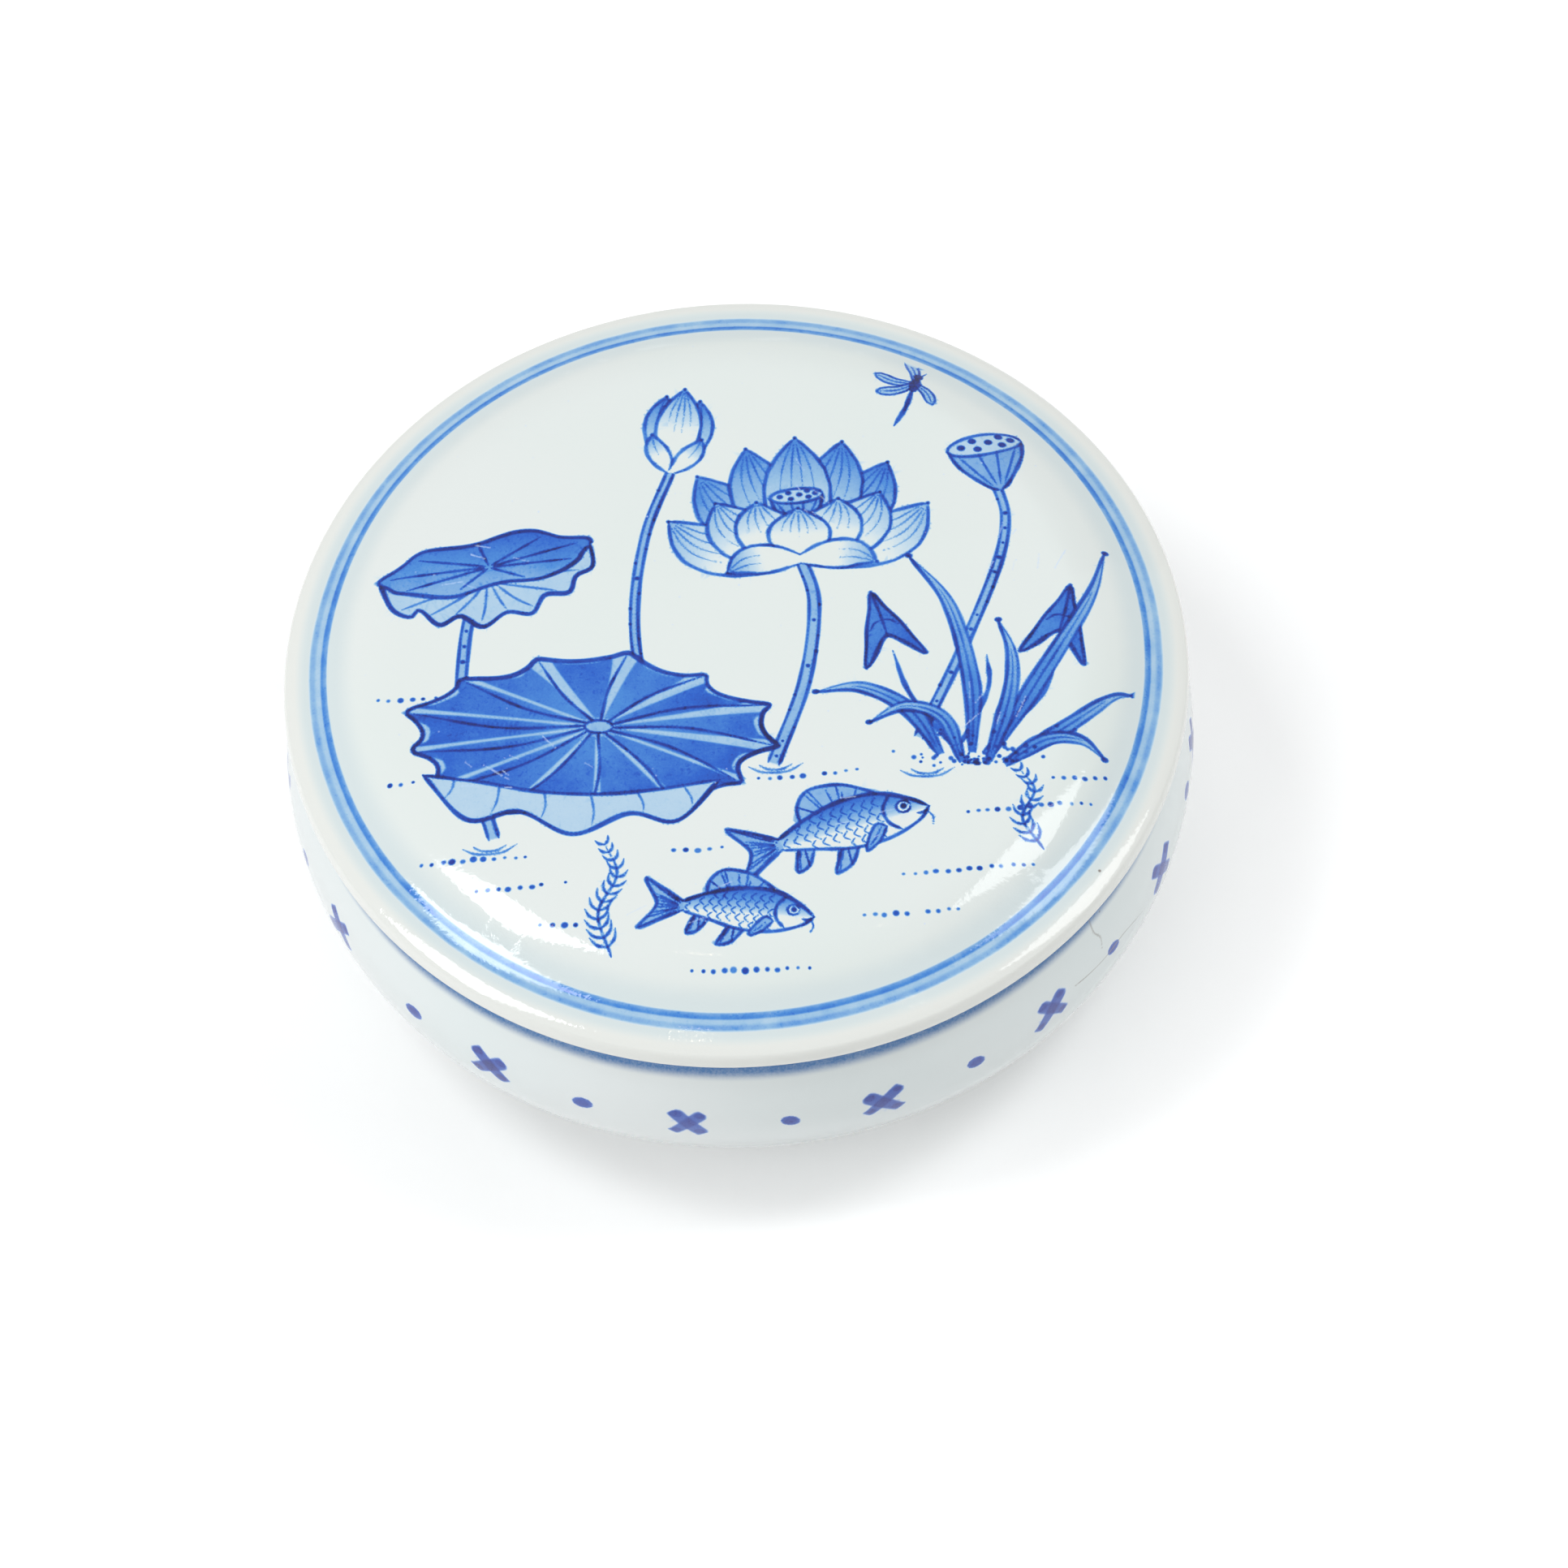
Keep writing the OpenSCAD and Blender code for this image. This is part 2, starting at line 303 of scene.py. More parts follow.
class Turned:  # gathers the points, faces, normals, paint and bake map of one piece
    def __init__(self, bare=lambda r, z: 0):
        self.points, self.faces, self.normals, self.maps, self.paint = [], [], [], [], []
        self.bare = bare  # 1 where the clay has no glaze

    def ring(self, r, z):
        first = len(self.points)
        count = 1 if r < tiny else columns
        for i in range(count):
            self.points.append(around(r, z, 2 * math.pi * i / columns))
            self.paint.append((0, self.bare(r, z), 0, 1))
        return (first, count)

    def band(self, low, high, rowLow, rowHigh, partLow, partHigh, chart):
        a, b = rowLow, rowHigh
        outward = (b[0] - a[0]) * (a[3] + b[3]) - (b[1] - a[1]) * (a[2] + b[2]) < 0
        for i in range(columns):
            corners = [(low, i, a, partLow), (low, i + 1, a, partLow), (high, i + 1, b, partHigh),
                       (high, i, b, partHigh)]
            if low[1] == 1:
                corners.pop(1)
            if high[1] == 1:
                corners.pop()
            if not outward:
                corners.reverse()
            middle = 2 * math.pi * (i + 0.5) / columns
            self.faces.append([ring[0] + k % ring[1] for ring, k, _, _ in corners])
            for _, k, row, part in corners:
                turn = 2 * math.pi * k / columns
                self.normals.append(around(row[2], row[3], turn))
                self.maps.append(chart(row, part, turn, middle))

    def rows(self, stretches, chart, first=None):  # rings and bands along an outline
        flat = [row for rows in stretches for row in rows]
        walk = [0.0]
        for a, b in zip(flat, flat[1:]):
            walk.append(walk[-1] + math.hypot(b[0] - a[0], b[1] - a[1]))
        held = first or self.ring(*flat[0][:2])
        for k in range(1, len(flat)):
            if walk[k] - walk[k - 1] < tiny:
                continue
            new = self.ring(*flat[k][:2])
            self.band(held, new, flat[k - 1], flat[k], walk[k - 1] / walk[-1], walk[k] / walk[-1], chart)
            held = new
        return held

    def sheet(self, art, border, ids, grid, lift, isInside, chart):  # a painted stretch, in triangles
        v = paintMesh
        marks = [tuple(p) for p in art.meshPoints() if isInside(p, v["borderGap"])]
        grid = [p for p in grid if isInside(p, v["gridGap"])]
        fine = spread(border, marks, v["minGap"])
        flat = border + fine + spread(fine, grid, v["gridGap"])
        inks = art.amounts(np.array(flat))
        for done in range(v["rounds"] + 1):
            made = delaunay_2d_cdt([Vector(p) for p in flat], [], [], 0, v["merge"])
            if done == v["rounds"]:
                break
            more = halfway(np.array(flat), inks, made[2], made[3])
            more = spread(flat, [p for p in more if isInside(p, v["borderGap"])], v["minGap"])
            if not more:
                break
            flat += more
            inks = np.vstack([inks, art.amounts(np.array(more))])
        spots = [tuple(p) for p in made[0]]
        inks = inks[[came[0] for came in made[3]]]
        raised = [lift(p) for p in spots]
        index = []
        for k, (place, _) in enumerate(raised):
            if made[3][k][0] < len(ids):
                index.append(ids[made[3][k][0]])
                continue
            index.append(len(self.points))
            self.points.append(place)
            self.paint.append((inks[k][0], 0, inks[k][1], 1))
        for f in made[2]:
            (ax, ay), (bx, by), (cx, cy) = (spots[i] for i in f)
            f = f if (bx - ax) * (cy - ay) > (by - ay) * (cx - ax) else f[::-1]
            self.faces.append([index[i] for i in f])
            for i in f:
                self.normals.append(raised[i][1])
                self.maps.append(chart(spots[i], (ax + bx + cx) / 3))

    def build(self, name, material, body, node):
        mesh = bpy.data.meshes.new(name)
        mesh.from_pydata([tuple(c * mm for c in p) for p in self.points], [], self.faces)
        mesh.shade_smooth()
        mesh.normals_split_custom_set([Vector(n).normalized() for n in self.normals])
        uv = mesh.uv_layers.new(name="OFBake")
        uv.data.foreach_set("uv", np.array(self.maps, float).ravel())
        paint = mesh.attributes.new("paint", "FLOAT_COLOR", "POINT")
        paint.data.foreach_set("color", np.array(self.paint, float).ravel())
        mesh.materials.append(material)
        piece = bpy.data.objects.new(name, mesh)
        bpy.context.scene.collection.objects.link(piece)
        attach(piece, body)
        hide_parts(node)
        print(name, "built:", len(self.points), "points,", len(self.faces), "faces")
        return piece


def disc(middle, size, part, turn):  # a round island of the bake map
    return (middle[0] + size * part * math.sin(turn), middle[1] - size * part * math.cos(turn))


def spread(held, more, gap):  # those of the points that keep the gap from each other and from held ones
    cells = {}

    def isFree(p):
        cell = (math.floor(p[0] / gap), math.floor(p[1] / gap))
        for i in (-1, 0, 1):
            for j in (-1, 0, 1):
                for q in cells.get((cell[0] + i, cell[1] + j), ()):
                    if math.hypot(p[0] - q[0], p[1] - q[1]) < gap:
                        return False
        cells.setdefault(cell, []).append(p)
        return True
    for p in held:
        cells.setdefault((math.floor(p[0] / gap), math.floor(p[1] / gap)), []).append(p)
    return [p for p in more if isFree(p)]


def halfway(flat, inks, faces, came):  # middles of the long edges that the paint changes along
    order = np.array([c[0] for c in came])
    f = order[np.array([tuple(face) for face in faces])]
    edges = np.unique(np.sort(np.vstack([f[:, [0, 1]], f[:, [1, 2]], f[:, [2, 0]]]), axis=1), axis=0)
    a, b = edges[:, 0], edges[:, 1]
    change = np.abs(inks[a] - inks[b]).max(1)
    size = np.hypot(*(flat[a] - flat[b]).T)
    chosen = (change > paintMesh["change"]) & (size > paintMesh["longEdge"])
    return [tuple(p) for p in ((flat[a] + flat[b]) / 2)[chosen]]


def hexGrid(low, high, step):
    across = np.arange(low[0], high[0], step)
    up = np.arange(low[1], high[1], step * 0.866)  # the height of a triangle with even sides
    return [(float(x) + (step / 2 if j % 2 else 0), float(y)) for j, y in enumerate(up) for x in across]


# Brush painting: marks in mm on a flat sheet, worked out as an amount of pigment at any point

brush = {
    "step": 0.45,  # mm between the points of a stroke
    "soft": 0.09,  # mm on either side over which an edge fades
    "weight": 1.14,  # how many times its given width a line is drawn
    "tip": 0.3,  # share of the width at a line's ends
    "waves": ((0.13, 17), (0.07, 41)),  # how a line swells: share of its width, pace along it
    "pool": (0.2, 0.1, 0.12),  # more pigment at a line's start, at its end, and in waves between
}


def smoothPath(points, step=None, closed=False):  # an even walk along a curve through the points
    step = step or brush["step"]
    p = np.array(points, float)
    if closed:
        p = np.vstack([p[-1], p, p[0], p[1]])
    else:
        p = np.vstack([2 * p[0] - p[1], p, 2 * p[-1] - p[-2]])
    t = np.linspace(0, 1, 16, endpoint=False)[:, None]
    dense = []
    for a, b, c, d in zip(p[:-3], p[1:-2], p[2:-1], p[3:]):
        dense.append(0.5 * (2 * b + (c - a) * t + (2 * a - 5 * b + 4 * c - d) * t ** 2
                            + (3 * b - a - 3 * c + d) * t ** 3))
    dense = np.vstack(dense + [p[-2][None, :]])
    walk = np.concatenate([[0], np.cumsum(np.linalg.norm(np.diff(dense, axis=0), axis=1))])
    count = max(4, math.ceil(walk[-1] / step))
    even = np.linspace(0, walk[-1], count + 1)
    path = np.column_stack([np.interp(even, walk, dense[:, k]) for k in (0, 1)])
    return path[:-1] if closed else path


def sideways(path):  # unit normals along a path, to its left
    along = np.gradient(path, axis=0)
    along /= np.maximum(np.linalg.norm(along, axis=1, keepdims=True), tiny)
    return np.column_stack([-along[:, 1], along[:, 0]])


def placed(points, at, turn=0.0, size=1.0):
    c, s = math.cos(math.radians(turn)), math.sin(math.radians(turn))
    return np.array(points, float) * size @ np.array([[c, s], [-s, c]]) + np.array(at)


def oval(wide, high, count, middle=(0, 0)):
    turns = np.linspace(0, 2 * math.pi, count, endpoint=False)
    return np.column_stack([middle[0] + wide * np.cos(turns), middle[1] + high * np.sin(turns)])


def looped(points, overlap=1):  # with its first points once more at the end
    return np.vstack([points, points[:overlap]])


class Painting:
    def __init__(self, seed):
        self.marks = []
        self.dice = random.Random(seed)

    def line(self, points, width, ink, taper=(0.12, 0.3), channel=0, curve=True):
        path = smoothPath(points) if curve else np.array(points, float)
        width, tip = width * brush["weight"], brush["tip"]
        t = np.linspace(0, 1, len(path))
        swell = np.clip(tip + t / taper[0], 0, 1) * np.clip(tip / 2 + (1 - t) / taper[1], 0, 1)
        phase = self.dice.uniform(0, 6.3)
        (slow, slowPace), (quick, quickPace) = brush["waves"]
        uneven = slow * np.sin(phase + slowPace * t) + quick * np.sin(2 * phase + quickPace * t)
        swell = swell * (1 + uneven)
        first, last, wave = brush["pool"]
        pooled = ink * (1 + first * np.exp(-t / 0.08) + last * np.exp(-(1 - t) / 0.05)
                        + wave * np.sin(3 * phase + 11 * t))
        self.marks.append({"path": path, "half": width / 2 * swell, "ink": np.clip(pooled, 0, 1),
                           "channel": channel, "soft": min(brush["soft"], width * 0.3)})

    def fill(self, outline, ink, channel=0, shade=None, soft=None, curve=True):
        path = smoothPath(outline, closed=True) if curve else np.array(outline, float)
        self.marks.append({"path": path, "half": None, "ink": ink, "channel": channel, "shade": shade,
                           "soft": soft or brush["soft"]})

    def wipe(self, outline, curve=True):  # clears what is behind a motif
        self.fill(outline, 0, channel=-1, curve=curve)

    def patch(self, outline, ink, curve=True, **look):  # a filled shape that hides what is behind it
        self.wipe(outline, curve)
        self.fill(outline, ink, curve=curve, **look)

    def dot(self, at, r, ink, channel=0, long=1.0, turn=0.0):
        self.fill(placed(oval(r * long, r, 9), at, turn), ink, channel, soft=min(brush["soft"], r * 0.5),
                  curve=False)

    def meshPoints(self):  # points on both sides of every painted edge
        rows = []
        for m in self.marks:
            path = m["path"]
            if m["half"] is not None:
                n = sideways(path)
                half = m["half"][:, None]
                rows += [path, path + n * (half + m["soft"]), path - n * (half + m["soft"])]
                wide = (half > 1.8 * m["soft"]).ravel()
                core = half - m["soft"]
                rows += [(path + n * core)[wide], (path - n * core)[wide]]
                for end, other in ((0, 1), (-1, -2)):
                    ahead = path[end] - path[other]
                    ahead = ahead / max(np.linalg.norm(ahead), tiny)
                    rows.append((path[end] + ahead * (half[end] + m["soft"]))[None])
            else:
                n = sideways(np.vstack([path[-1:], path, path[:1]]))[1:-1]
                rows += [path + n * m["soft"], path - n * m["soft"]]
        return np.vstack(rows)

    def amounts(self, points):  # pigment at each point: cobalt, stain
        total = np.zeros((len(points), 2))
        for m in self.marks:
            isLine = m["half"] is not None
            spare = m["soft"] + (m["half"].max() if isLine else 0)
            low, high = m["path"].min(0) - spare, m["path"].max(0) + spare
            near = np.where(np.all((points >= low) & (points <= high), axis=1))[0]
            if not len(near):
                continue
            p = points[near]
            path = m["path"] if isLine else np.vstack([m["path"], m["path"][:1]])
            best, dark = np.full(len(p), -np.inf), np.zeros(len(p))
            inside = np.zeros(len(p), bool)
            for k in range(len(path) - 1):
                a, b = path[k], path[k + 1]
                ab = b - a
                t = np.clip(((p - a) @ ab) / max(ab @ ab, tiny), 0, 1)
                gap = np.hypot(p[:, 0] - a[0] - t * ab[0], p[:, 1] - a[1] - t * ab[1])
                if isLine:
                    depth = m["half"][k] * (1 - t) + m["half"][k + 1] * t - gap
                    dark = np.where(depth > best, m["ink"][k] * (1 - t) + m["ink"][k + 1] * t, dark)
                    best = np.maximum(best, depth)
                    continue
                best = np.maximum(best, -gap)
                if abs(ab[1]) > tiny:
                    cut = a[0] + (p[:, 1] - a[1]) * ab[0] / ab[1]
                    inside ^= ((a[1] > p[:, 1]) != (b[1] > p[:, 1])) & (p[:, 0] < cut)
            if not isLine:
                best = np.where(inside, -best, best)
                dark = np.full(len(p), float(m["ink"]))
                if m["shade"]:
                    dark = dark * m["shade"](p)
            cover = np.clip(best / (2 * m["soft"]) + 0.5, 0, 1)
            cover = cover * cover * (3 - 2 * cover)
            if m["channel"] < 0:
                total[near] *= (1 - cover)[:, None]
            else:
                old = total[near, m["channel"]]
                total[near, m["channel"]] = old + cover * dark * (1 - old)
        return np.clip(total, 0, 1)


# The cover's picture: a lotus pond, in mm from the middle, with the far side of the cover at the top.
# What is drawn later stands in front, and pigment runs from 0, bare glaze, to 1, the darkest blue.

pond = {
    "line": 0.34,  # width of an outline
    "blade": 0.42, "arrow": 0.55, "bowl": 0.52, "back": 0.16, "fold": 0.15,  # pigment in the leaves
    "petal": (  # how wide a petal is along its length
        (0, 0.3), (0.12, 0.55), (0.25, 0.8), (0.42, 0.98), (0.58, 1), (0.72, 0.86), (0.84, 0.58),
        (0.93, 0.28), (1, 0)),
    # stems: spine from the root up, width; leaves, pod, fish and dragonfly: place, turn in degrees, size
    "bowlStem": ([(-24, -20), (-26.5, -8), (-26, 2), (-24.5, 9)], 1.0),
    "bowlLeaf": ((-23.5, 10.5), 7, 0.98),
    "budStem": ([(-8, -12), (-9.5, 2), (-8, 13), (-5, 21)], 0.8),
    "blossomStem": ([(3, -14), (6.5, -5), (8, 4), (7, 9.5)], 1.1),
    "podStem": ([(17, -12), (21.5, -3), (25.8, 7), (27.2, 13), (26.5, 17.5)], 0.85),
    "pod": ((26.2, 20.2), 12, 0.9),
    "arrowLeaves": [((14.6, 0.6), 14, 0.86), ((31.6, 0.2), -16, 0.9)],
    "fish": [((9.5, -21.5), 14, 0.92), ((-1.0, -29.8), -9, 0.78)], "dragonfly": ((19.5, 30), 24, 0.86),
    "moss": ((22.5, -15.3), (6.5, 2.4), 70),  # place, spread, number
    "arrowStems": [
        [(20, -13), (16.5, -7), (15.2, -2)], [(21, -13), (24, -7), (24.2, -3)],
        [(23, -14), (29, -8), (31, -3)],
    ],
    "reeds": [  # spine from root to tip, width
        ([(24, -14), (29, -6), (34.5, 3), (36.6, 9)], 1.7),
        ([(22, -14), (22.5, -6), (21, 3), (17.5, 9)], 1.6),
        ([(26, -15), (32, -11), (36, -8), (38, -7.4)], 1.5),
        ([(19, -14), (16.5, -9), (12, -6), (7.5, -6.2)], 1.6),
        ([(23.5, -15), (26, -8), (26.6, -3), (25.6, 1)], 1.5),
        ([(21, -15), (19.5, -10), (16, -8.4), (12.4, -10)], 1.4),
        ([(25, -15.5), (29, -13), (32.4, -13), (34.6, -14.8)], 1.4),
    ],
    "weeds": [  # spine, length of the lowest leaves
        ([(-13.5, -33.5), (-14.5, -29), (-12.5, -25), (-13.5, -21.6)], 1.7),
        ([(28, -24.5), (26.2, -21.5), (27.6, -18.5), (26.4, -16.2)], 1.5),
    ],
    "stillWater": [  # rows of dots, from end to end
        ((-35, -12.5), (-31.5, -12.9)), ((-31, -21.5), (-21, -22.2)), ((-26, -25.2), (-17.5, -25.4)),
        ((1.5, -15.6), (11, -15.2)), ((21, -20.6), (33, -19.4)), ((14.5, -27), (27, -26)),
        ((-20, -29.6), (-14.5, -29.8)), ((10.5, -31.2), (19.5, -30.6)), ((-6, -35.6), (5, -36.0)),
        ((-34.6, -3.2), (-29, -3.6)), ((29.5, -17.2), (35.5, -16.4)), ((-8, -22.6), (-2.5, -22.9)),
    ],
    "ripples": [(-24.4, -20.8), (3.2, -14.2), (17.6, -15.6)], "ripple": (2.6, 0.7),  # places, size
}


def ribbon(points, width, belly):  # spine, left side, right side and outline of a long shape
    spine = smoothPath(points)
    half = width / 2 * np.interp(np.linspace(0, 1, len(spine)), *zip(*belly))
    out = sideways(spine) * half[:, None]
    left, right = spine + out, spine - out
    return spine, left, right, np.vstack([left, right[::-1]])


def drawBlade(art, points, width):  # a reed's leaf, dark at its root, with two dark edges
    spine, left, right, outline = ribbon(points, width, ((0, 0.4), (0.3, 1), (0.7, 0.7), (1, 0.04)))
    root, span = spine[0], np.linalg.norm(spine[-1] - spine[0])
    art.patch(outline, pond["blade"], curve=False,
              shade=lambda p: np.clip(1.45 - np.hypot(*(p - root).T) / span, 0.5, 1.5))
    art.line(left[::-1], pond["line"], 0.72, (0.06, 0.1), curve=False)
    art.line(right, pond["line"] * 0.7, 0.6, (0.1, 0.3), curve=False)
    art.line(spine[2:int(len(spine) * 0.8)], pond["line"] * 0.6, 0.55, (0.1, 0.5), curve=False)
    art.dot(spine[-1], pond["line"] * 0.85, 0.85, long=1.3)


def drawStem(art, points, width):  # with short prickles
    spine, left, right, outline = ribbon(points, width, ((0, 1), (1, 0.9)))
    art.patch(outline, 0.26, curve=False)
    art.line(left, pond["line"] * 0.75, 0.66, (0.02, 0.02), curve=False)
    art.line(right, pond["line"] * 0.95, 0.72, (0.02, 0.02), curve=False)
    for k in range(2, len(spine) - 2, 4):
        row = (spine, left, right)[art.dice.randrange(3)]
        art.dot(row[k], art.dice.uniform(0.14, 0.24), 0.8)


def drawPetal(art, base, tip, width, bend, wash, veins, isBack):  # darker towards its tip
    axis = tip - base
    span = np.linalg.norm(axis)
    side = np.array([-axis[1], axis[0]]) / span
    bent = [base, base + axis * 0.35 + side * bend * 0.7, base + axis * 0.7 + side * bend, tip]
    spine, left, right, outline = ribbon(bent, width, pond["petal"])
    art.patch(outline, wash, curve=False, soft=0.12,
              shade=lambda p: np.clip(((p - base) @ axis / span ** 2 - 0.42) / 0.5, 0.0, 1.2) ** 1.3
              + (0.55 if isBack else 0.0))
    count = len(spine)
    for k in range(veins):
        f = (k + 1) / (veins + 1) * 2 - 1
        vein = spine + ((left if f > 0 else right) - spine) * abs(f) * 0.85
        start, end = int(count * 0.93), int(count * (0.42 + 0.14 * abs(f)))
        art.line(vein[start:end:-1], 0.15, 0.42, (0.05, 0.7), curve=False)
    art.line(left, pond["line"], 0.62, (0.25, 0.04), curve=False)
    art.line(right, pond["line"] * 0.85, 0.7, (0.25, 0.04), curve=False)
    art.dot(tip, 0.2, 0.8)


def drawPetals(art, petals, at, size=1.0, turn=0.0):
    for foot, tip, width, bend, wash, veins, isBack in petals:
        base, end = placed([foot, tip], at, turn, size)
        drawPetal(art, base, end, width * size, bend * size, wash, veins, isBack)


def drawPod(art, at, turn, size):  # a seed pod: a cone whose flat top shows its seeds
    turned = partial(placed, at=at, turn=turn, size=size)
    flank = [(-4.2, 2.0), (-3.4, -0.6), (-1.2, -3.6), (0, -4.4)]
    mirrored = [(-x, y) for x, y in flank]
    art.patch(turned(flank + mirrored[-2::-1] + [(2.6, 3.1), (0, 3.5), (-2.6, 3.1)]), 0.34)
    top = turned(oval(4.2, 1.4, 12, (0, 2.1)))
    art.patch(top, 0.14)
    art.line(looped(top), 0.3, 0.7, (0.01, 0.01))
    for x in (-2.4, -0.8, 0.8, 2.4):
        art.line(turned([(x * 1.3, 0.9), (x * 0.75, -1.6), (x * 0.28, -3.6)]), 0.2, 0.62)
    art.line(turned(flank), 0.32, 0.78, (0.02, 0.1))
    art.line(turned(mirrored), 0.36, 0.78, (0.02, 0.1))
    for seed in ((-2.6, 2.2), (-1.2, 2.8), (-0.9, 1.6), (0.5, 2.3), (1.8, 2.9), (1.9, 1.7), (3.0, 2.3)):
        art.dot(turned([seed])[0], 0.3 * size + 0.08, 0.85, long=1.2)


# Petals from the farthest to the nearest: foot, tip, width, bend, pigment, veins, is it at the back
blossom = {
    "at": (7, 9.8), "pod": ((7.1, 15.6), 3, 0.62),
    "behind": [
        ((0, 0), (-9.5, 10.2), 6.2, 0.9, 0.3, 4, True), ((0, 0), (9.2, 10.6), 6.2, -0.9, 0.3, 4, True),
        ((0, 0), (-4.6, 13.2), 6.2, 0.6, 0.3, 4, True), ((0, 0), (4.9, 13.4), 6.2, -0.6, 0.3, 4, True),
        ((0, 0), (0.3, 14.2), 6.51, 0, 0.26, 4, True),
    ],
    "inFront": [
        ((0, 0), (-12.6, 5.0), 5.952, 1.7, 0.22, 4, False),
        ((0, 0), (12.8, 5.4), 5.952, -1.7, 0.22, 4, False),
        ((0, 0), (-7.9, 6.8), 6.324, 1.2, 0.22, 4, False),
        ((0, 0), (8.2, 7.0), 6.324, -1.2, 0.22, 4, False),
        ((-1.5, -0.3), (-3.9, 6.6), 5.704, 0.5, 0.22, 4, False),
        ((1.5, -0.3), (4.1, 6.5), 5.704, -0.5, 0.22, 4, False),
        ((0, -0.8), (0.1, 5.6), 6.076, 0, 0.22, 5, False),
        ((0, -0.5), (-7.2, -1.6), 3.41, -0.9, 0.3, 2, False),
        ((0, -0.5), (7.4, -1.3), 3.41, 0.9, 0.3, 2, False),
    ],
}
bud = {
    "at": (-5, 21), "size": 1.05, "turn": -10,
    "petals": [
        ((0, 0), (-1.5, 8.6), 3.6, 0.5, 0.3, 2, True), ((0, 0), (1.7, 8.3), 3.6, -0.5, 0.3, 2, True),
        ((0, -0.2), (0.1, 9.6), 4.2, 0, 0.3, 4, False), ((0, -0.2), (-2.3, 4.0), 2.0, 0.3, 0.36, 1, False),
        ((0, -0.2), (2.4, 3.8), 2.0, -0.3, 0.36, 1, False),
    ],
}
roundLeaf = {  # the big leaf, with its near edge turned up
    "at": (-14.5, -9.5), "wide": 18.5, "high": 9.6, "turn": -6, "veins": 13, "notch": 0.13, "phase": 0.4,
    "ink": 0.5, "hubAt": (0.05, 0.12), "hub": 0.075, "foldVeins": 6,
    "foldOuter": [(-30.5, -12.2), (-26.5, -17.6), (-21.5, -17.2), (-16.5, -20.2), (-11, -18.4),
                  (-6.5, -19.6), (-2.2, -15.4)],
    "foldInner": [(-30.5, -12.2), (-25, -13.6), (-19.5, -15.2), (-14, -16.0), (-8.5, -16.0),
                  (-2.2, -15.4)],
}
fish = {  # outlines in mm, the nose towards +x
    "back": [(-7.2, 0.7), (-4, 2.1), (0, 3.1), (4, 2.9), (7, 1.4), (8.9, -0.2)],
    "belly": [(8.9, -0.2), (7.4, -1.5), (4, -2.6), (0, -2.6), (-4, -1.5), (-7.2, -0.6)],
    "fins": [  # outline, root: tail, back fin, belly fin, rear fin
        ([(-7.0, 0.6), (-9.4, 2.2), (-12.0, 3.6), (-10.7, 1.2), (-10.3, 0.1), (-10.9, -1.2), (-12.4, -3.4),
          (-9.5, -1.9), (-7.0, -0.5)], (-7.0, 0.0)),
        ([(-4.4, 1.9), (-4.2, 3.8), (-2.6, 5.4), (0.4, 5.2), (2.4, 4.2), (4.2, 2.8)], (0, 2.4)),
        ([(0.6, -2.5), (-0.8, -4.4), (-2.6, -4.9), (-1.9, -3.4), (-1.4, -2.4)], (-0.4, -2.3)),
        ([(-4.0, -1.6), (-5.0, -3.2), (-6.4, -3.6), (-6.0, -2.0), (-5.6, -1.1)], (-4.8, -1.2)),
    ],
    "sideFin": [(4.0, -1.2), (2.8, -2.6), (1.2, -3.4), (1.6, -2.2), (3.0, -0.6)],
    "sideRay": [(3.4, -1.1), (2.4, -2.2), (1.5, -3.0)],
    "gill": [(5.3, 2.3), (4.2, 0.9), (4.3, -0.8), (5.4, -2.0)],
    "mouth": [(8.8, -0.3), (8.0, -0.7), (7.4, -0.6)], "barbel": [(8.5, -0.6), (8.9, -1.5), (8.6, -2.3)],
    "scaleRows": 5, "scalesInRow": 10, "scaleStep": (1.12, 0.98),
}


def leafEdge(v):  # an oval with a notch at the end of each vein
    edge = []
    for a in np.linspace(0, 2 * math.pi, 90, endpoint=False):
        r = 1 - v["notch"] * abs(math.sin(v["veins"] * a / 2 + v["phase"])) ** 0.7
        r += 0.3 * v["notch"] * math.sin(5 * a + v["phase"])
        edge.append((v["wide"] * r * math.cos(a), v["high"] * r * math.sin(a)))
    return np.array(edge)


